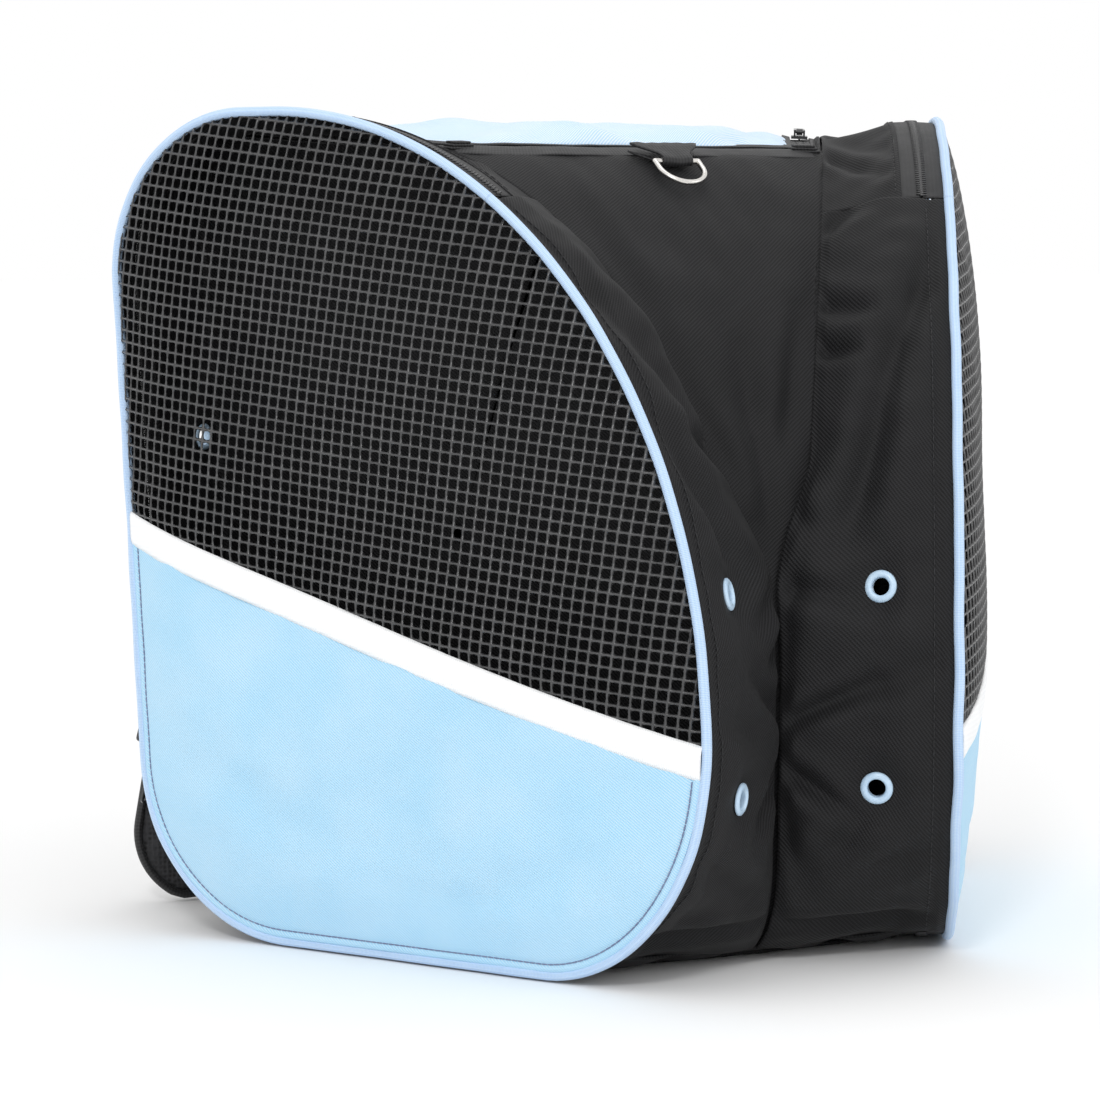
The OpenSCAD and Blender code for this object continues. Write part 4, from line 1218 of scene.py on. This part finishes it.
def handle():
    """Webbing haul handle: folded double at the grip, sewn down at both ends."""
    half_len, wide, bow, z0 = 62.0, 24.0, 26.0, 390.0
    count, sides = 90, 28
    u = np.linspace(0, 1, count)
    x = mix(-half_len, half_len, u)
    y = BACK_Y + 0.6 + bow * np.clip(np.sin(np.pi * u), 0, 1) ** 0.8
    path = np.stack([x, y], -1)
    tangent = unit(np.gradient(path, axis=0))
    out = np.stack([-tangent[:, 1], tangent[:, 0]], -1)
    if out[count // 2, 1] < 0:
        out = -out
    grip = smooth((0.22 - np.abs(u - 0.5)) / 0.06)
    a = np.linspace(0, 2 * math.pi, sides, endpoint=False)
    height = (wide / 2) * mix(1.0, 0.74, grip)
    thick = mix(1.3, 2.7, grip)
    ring_h = np.sign(np.sin(a)) * np.abs(np.sin(a)) ** 0.35
    ring_t = np.sign(np.cos(a)) * np.abs(np.cos(a)) ** 0.9
    side_pos = 1.5 + thick[:, None] * ring_t[None]
    p = np.empty((count, sides, 3))
    p[..., 0] = path[:, :1] + out[:, :1] * side_pos
    p[..., 1] = path[:, 1:] + out[:, 1:] * side_pos
    p[..., 2] = z0 + wide / 2 + height[:, None] * ring_h[None]
    p[..., 1] += 0.25 * ripple(p, 15, 161)
    run = distance_along(path)
    turn = pairs(run[:, None], height[:, None] * ring_h[None])
    obj = add_object("handle_webbing", p.reshape(-1, 3), tube_faces(count, sides), turn)
    fix_normals(obj)
    finish_piece(obj, "grab_handle", WEBBING, "webbing", "grab_handle")


# ---------------------------------------------------------------- padded pieces
def puffed(obj, cap_mm, voxel=0.0045, pressure=3.0, frames=16):
    """Inflates a closed piece with a cloth simulation, each point moved at most cap_mm, and applies it."""
    remesh = obj.modifiers.new("remesh", "REMESH")
    remesh.mode = "VOXEL"
    remesh.voxel_size = voxel
    bake(obj)
    obj.modifiers.clear()
    before = np.array([v.co for v in obj.data.vertices])
    cloth = obj.modifiers.new("cloth", "CLOTH")
    cloth.settings.quality = 5
    cloth.settings.mass = 0.3
    cloth.settings.tension_stiffness = cloth.settings.compression_stiffness = 12
    cloth.settings.use_pressure = True
    cloth.settings.uniform_pressure_force = pressure
    cloth.settings.effector_weights.gravity = 0
    scene = bpy.context.scene
    for number in range(1, frames + 1):
        scene.frame_set(number)
    held = obj.evaluated_get(bpy.context.evaluated_depsgraph_get())
    after = np.array([v.co for v in held.data.vertices])
    obj.modifiers.clear()
    scene.frame_set(1)
    move = after - before
    size = np.linalg.norm(move, axis=1, keepdims=True)
    move *= np.minimum(1, cap_mm * MM / np.maximum(size, 1e-9))
    return before + move


def bake(obj):
    """Applies the modifiers on an object to its mesh."""
    held = obj.evaluated_get(bpy.context.evaluated_depsgraph_get())
    obj.data = bpy.data.meshes.new_from_object(held)


def set_points(obj, p):
    obj.data.vertices.foreach_set("co", np.asarray(p, np.float32).ravel())
    obj.data.polygons.foreach_set("use_smooth", [True] * len(obj.data.polygons))
    obj.data.update()


PAD_W, PAD_H, PAD_Z, PAD_R = 290.0, 290.0, 50.0, 30.0


def corner_distance(x, z, half_w, half_h, r):
    """Distance inside a rounded rectangle's edge, centred on the origin."""
    qx, qz = np.abs(x) - half_w + r, np.abs(z) - half_h + r
    outside = np.hypot(np.maximum(qx, 0), np.maximum(qz, 0)) + np.minimum(np.maximum(qx, qz), 0) - r
    return -outside


def back_pad():
    """Foam back pad with sewn channels and a bound edge."""
    half_w, half_h = PAD_W / 2 - 3, PAD_H / 2 - 3
    xs, zs = np.linspace(-half_w, half_w, 70), np.linspace(-half_h, half_h, 72)
    x, z = np.meshgrid(xs, zs, indexing="ij")
    depth = corner_distance(x, z, half_w, half_h, PAD_R)
    pull = np.minimum(0, depth)
    scale = np.hypot(x, z)
    x, z = x + pull * x / np.maximum(scale, 1), z + pull * z / np.maximum(scale, 1)
    thick = (PAD_T - 5) * (0.35 + 0.65 * np.sqrt(smooth(np.maximum(depth, 0) / 16)))
    centre_z = PAD_Z + PAD_H / 2
    near = np.stack([x, 0 * x + BACK_Y + 0.9, z + centre_z], -1)
    far = np.stack([x, BACK_Y + 2.6 + thick, z + centre_z], -1)
    obj = slab("back_pad_foam", near, far)
    p = puffed(obj, 5.0) / MM
    dx, dz = p[:, 0], p[:, 2] - centre_z
    inside = corner_distance(dx, dz, PAD_W / 2, PAD_H / 2, PAD_R)
    outer = smooth((p[:, 1] - BACK_Y - 3) / 5)
    channel = np.zeros(len(p))
    for x0 in (-62.0, 62.0):
        channel += bell(dx - x0, 5) * (np.abs(dz) < 128)
    for z0 in (-72.0, 12.0, 90.0):
        channel += bell(dz - z0, 5) * (np.abs(dx) < 62)
    pinch = bell(inside - 9, 3.0)
    p[:, 1] -= outer * (5.0 * np.clip(channel, 0, 1) + 3.0 * pinch)
    p[:, 1] = np.clip(p[:, 1], BACK_Y + 0.5, BACK_Y + PAD_T - 0.4)
    set_points(obj, p * MM)
    finish_piece(obj, "bag", AIR_MESH, "padding", "back_pad")
    ease = obj.modifiers.new("ease", "SUBSURF")
    ease.levels = ease.render_levels = 1
    edge = pad_outline(PAD_W / 2 - 1.5, PAD_H / 2 - 1.5, PAD_R, centre_z)
    binding = tube("back_pad_binding", edge, 0 * edge + BACKWARD, 3.0, 12, True, 0.8)
    finish_piece(binding, "bag", WEBBING, "webbing")


def pad_outline(half_w, half_h, r, centre_z):
    corners = [(half_w - r, half_h - r, 0), (-half_w + r, half_h - r, 90),
               (-half_w + r, -half_h + r, 180), (half_w - r, -half_h + r, 270)]
    run = np.concatenate([arc((x, z), (r, r), a, a + 90, 14) for x, z, a in corners])
    run = resampled(np.concatenate([run, run[:1]]), step=3.0)[:-1]
    return np.stack([run[:, 0], np.full(len(run), BACK_Y + 4.2), run[:, 1] + centre_z], -1)


STRAP_TOP, STRAP_FOOT, STRAP_OVER = np.array([62.0, 376.0]), np.array([193.0, 4.0]), 0.12
STRAP_TURN = math.radians(19)
ACROSS_STRAP = np.array([math.cos(STRAP_TURN), 0.0, math.sin(STRAP_TURN)])


def strap_climb(u):
    return smooth(np.minimum(1, u / STRAP_OVER))


def strap_mid(u):
    along = mix(STRAP_TOP[0], STRAP_FOOT[0], u + 0.10 * np.sin(np.pi * u))
    out = BACK_Y + 1 + (PAD_T + 1) * strap_climb(u) + STRAP_BOW * np.sin(np.pi * u)
    return np.stack([along, out, mix(STRAP_TOP[1], STRAP_FOOT[1], u)], -1)


def strap_half_w(u):
    end = 0.92
    taper = mix(0.82, 1, np.minimum(1, 4 * u))
    round_end = np.sqrt(np.maximum(0.03, 1 - (np.maximum(u - end, 0) / (1 - end)) ** 2))
    return STRAP_W / 2 * np.where(u < end, taper, round_end)


def strap(side, name):
    """Padded shoulder strap with bound edges, a stitched channel and webbing down its face."""
    u = np.linspace(0.0, 1, 110)
    s = np.linspace(-1, 1, 22)
    mid, half = strap_mid(u), strap_half_w(u) - 2.0
    thick = np.maximum(STRAP_T * mix(0.35, 1, strap_climb(u)) - 4.5, 5.0)
    crown = np.sqrt(np.clip(1 - s ** 2, 0, 1)) * 0.3 + 0.7
    row = mid[:, None] + ACROSS_STRAP * (half[:, None] * s[None])[..., None]
    near, far = row.copy(), row.copy()
    near[..., 1] += 1.6
    far[..., 1] += 1.6 + thick[:, None] * crown[None]
    obj = slab(name + "_strap_foam", near, far, side)
    p = puffed(obj, 4.0, voxel=0.003) / MM * [side, 1, 1]
    drop = np.clip((STRAP_TOP[1] - p[:, 2]) / (STRAP_TOP[1] - STRAP_FOOT[1]), 0, 1)
    centre = strap_mid(drop)
    offset = (p[:, 0] - centre[:, 0]) / math.cos(STRAP_TURN)
    out = smooth((p[:, 1] - centre[:, 1] - 3) / 4)
    edge = strap_half_w(drop) - np.abs(offset)
    p[:, 1] -= out * (2.2 * bell(edge - 8, 2.2) * (drop > 0.06) * (drop < 0.93))
    p[:, 1] = np.clip(p[:, 1], centre[:, 1] + 0.2, centre[:, 1] + STRAP_T - 0.6)
    set_points(obj, p * [side, 1, 1] * MM)
    body = name + "_strap"
    finish_piece(obj, body, AIR_MESH, "padding", name + "_strap_pad")

    u = np.linspace(0.015, 1, 150)
    mid, half = strap_mid(u), strap_half_w(u) - 1.2
    left = mid - ACROSS_STRAP * half[:, None]
    right = mid + ACROSS_STRAP * half[:, None]
    edge = np.concatenate([left, right[::-1]]) + [0, 4.2, 0]
    edge = resampled(edge, step=2.5) * [side, 1, 1]
    binding = tube(name + "_strap_binding", edge, 0 * edge + BACKWARD, 2.9,
                   squash=0.7)
    finish_piece(binding, body, WEBBING, "webbing")

    u = np.linspace(0.05, 0.86, 120)
    mid = strap_mid(u) + np.array([-3.0, 0, 0]) * smooth(u)[:, None]
    s = np.linspace(-1, 1, 8)
    p = mid[:, None] + ACROSS_STRAP * (10.0 * s)[None, :, None]
    p[..., 1] += STRAP_T * mix(0.35, 1, strap_climb(u))[:, None] - 0.2 + 0.3 * (1 - s[None] ** 4)
    run = np.linspace(0, 330, 120)
    flat = pairs((10.0 * s)[None], run[:, None])
    face = sheet(name + "_strap_web", p * [side, 1, 1], flat, (side * 120.0, 0, 200), 1.2)
    finish_piece(face, body, WEBBING, "webbing")
    tail(side, name)


def tail(side, name):
    """Webbing from under the strap's end to the seam at the foot of the back panel."""
    path = np.array([[186.0, BACK_Y + PAD_T - 2, 44.0], [172.0, BACK_Y + 8, 30.0], [156.0, BACK_Y + 3, 18.0]])
    line = bezier(*path, 30)
    s = np.linspace(-1, 1, 12)
    p = np.repeat(line[:, None], 12, axis=1)
    p[..., 2] += 10.0 * s[None]
    p[..., 1] += 0.5 * ripple(p, 16, 171)
    flat = pairs(10 * s[None], np.linspace(0, 40, 30)[:, None])
    obj = sheet(name + "_tail_web", p * [side, 1, 1], flat, (0, 0, 20), 1.4)
    finish_piece(obj, "bag", WEBBING, "webbing", name + "_strap_webbing")


# ---------------------------------------------------------------- the object
for name, side in SIDES.items():
    outer_panel(side, name)
    side_zipper(side, name)
    gusset(side, name, True)
    gusset(side, name, False)
    eyelets(side, name)
    divider(side, name)
    strap(side, name)
wall_between("front_cloth", "front_panel", front_edge(), 61, (0, MID_Y, 150), front_shape)
wall_between("back_cloth", "back_panel", back_edge(), 81, (0, 0, 200), back_shape)
base()
lid()
hardware()
ring_tab()
handle()
back_pad()

# ---------------------------------------------------------------- stage, light and camera
scene = bpy.context.scene


def soft_light(name, at, target, size, power):
    data = bpy.data.lights.new(name, "AREA")
    data.shape = "DISK"
    data.size = size
    data.energy = power
    obj = bpy.data.objects.new(name, data)
    scene.collection.objects.link(obj)
    obj.location = at
    obj.rotation_euler = (Vector(target) - Vector(at)).to_track_quat("-Z", "Y").to_euler()
    return obj


bpy.ops.mesh.primitive_plane_add(size=40, location=(0, 0, -0.0004))
floor = bpy.context.object
floor.name = "floor"
ground = Nodes("floor_paint")
# away from the bag the floor fades into the white of the backdrop
away = ground.add("ShaderNodeVectorMath", operation="LENGTH",
                  Vector=ground.add("ShaderNodeNewGeometry").outputs["Position"])
fade = ground.add("ShaderNodeMapRange", interpolation_type="SMOOTHSTEP", From_Min=0.45, From_Max=1.3,
                  Value=away.outputs["Value"]).outputs[0]
ground.colour(fade, [(0.0, (0.93, 0.93, 0.93)), (1.0, (0.0, 0.0, 0.0))])
ground.set(ground.shader, Emission_Strength=fade, Emission_Color=(1, 1, 1, 1), Roughness=0.95,
           Specular_IOR_Level=0.05)
floor.data.materials.append(ground.mat)

world = bpy.data.worlds.new("studio")
scene.world = world
world.use_nodes = True
world.node_tree.nodes["Background"].inputs[0].default_value = (1, 1, 1, 1)
world.node_tree.nodes["Background"].inputs[1].default_value = 1.0

CENTRE = (0.0, 0.0, 0.20)
soft_light("key", (-1.5, -1.9, 1.9), CENTRE, 0.45, 17)
soft_light("fill", (1.9, -1.7, 1.2), CENTRE, 1.4, 4)
soft_light("top", (0.1, 0.3, 2.4), CENTRE, 1.2, 5)

camera_data = bpy.data.cameras.new("camera")
camera = bpy.data.objects.new("camera", camera_data)
scene.collection.objects.link(camera)
scene.camera = camera
camera_data.lens = 119.8
camera_data.sensor_width = 36
TARGET = Vector((-0.0443, 0.01765, 0.1939))
AZIMUTH, ELEVATION, DISTANCE = math.radians(-27.2), math.radians(5.1), 1.882
toward = Vector((math.sin(AZIMUTH) * math.cos(ELEVATION), -math.cos(AZIMUTH) * math.cos(ELEVATION),
                 math.sin(ELEVATION)))
camera.location = TARGET + toward * DISTANCE
camera.rotation_euler = (-toward).to_track_quat("-Z", "Y").to_euler()
scene.view_settings.view_transform = "Standard"
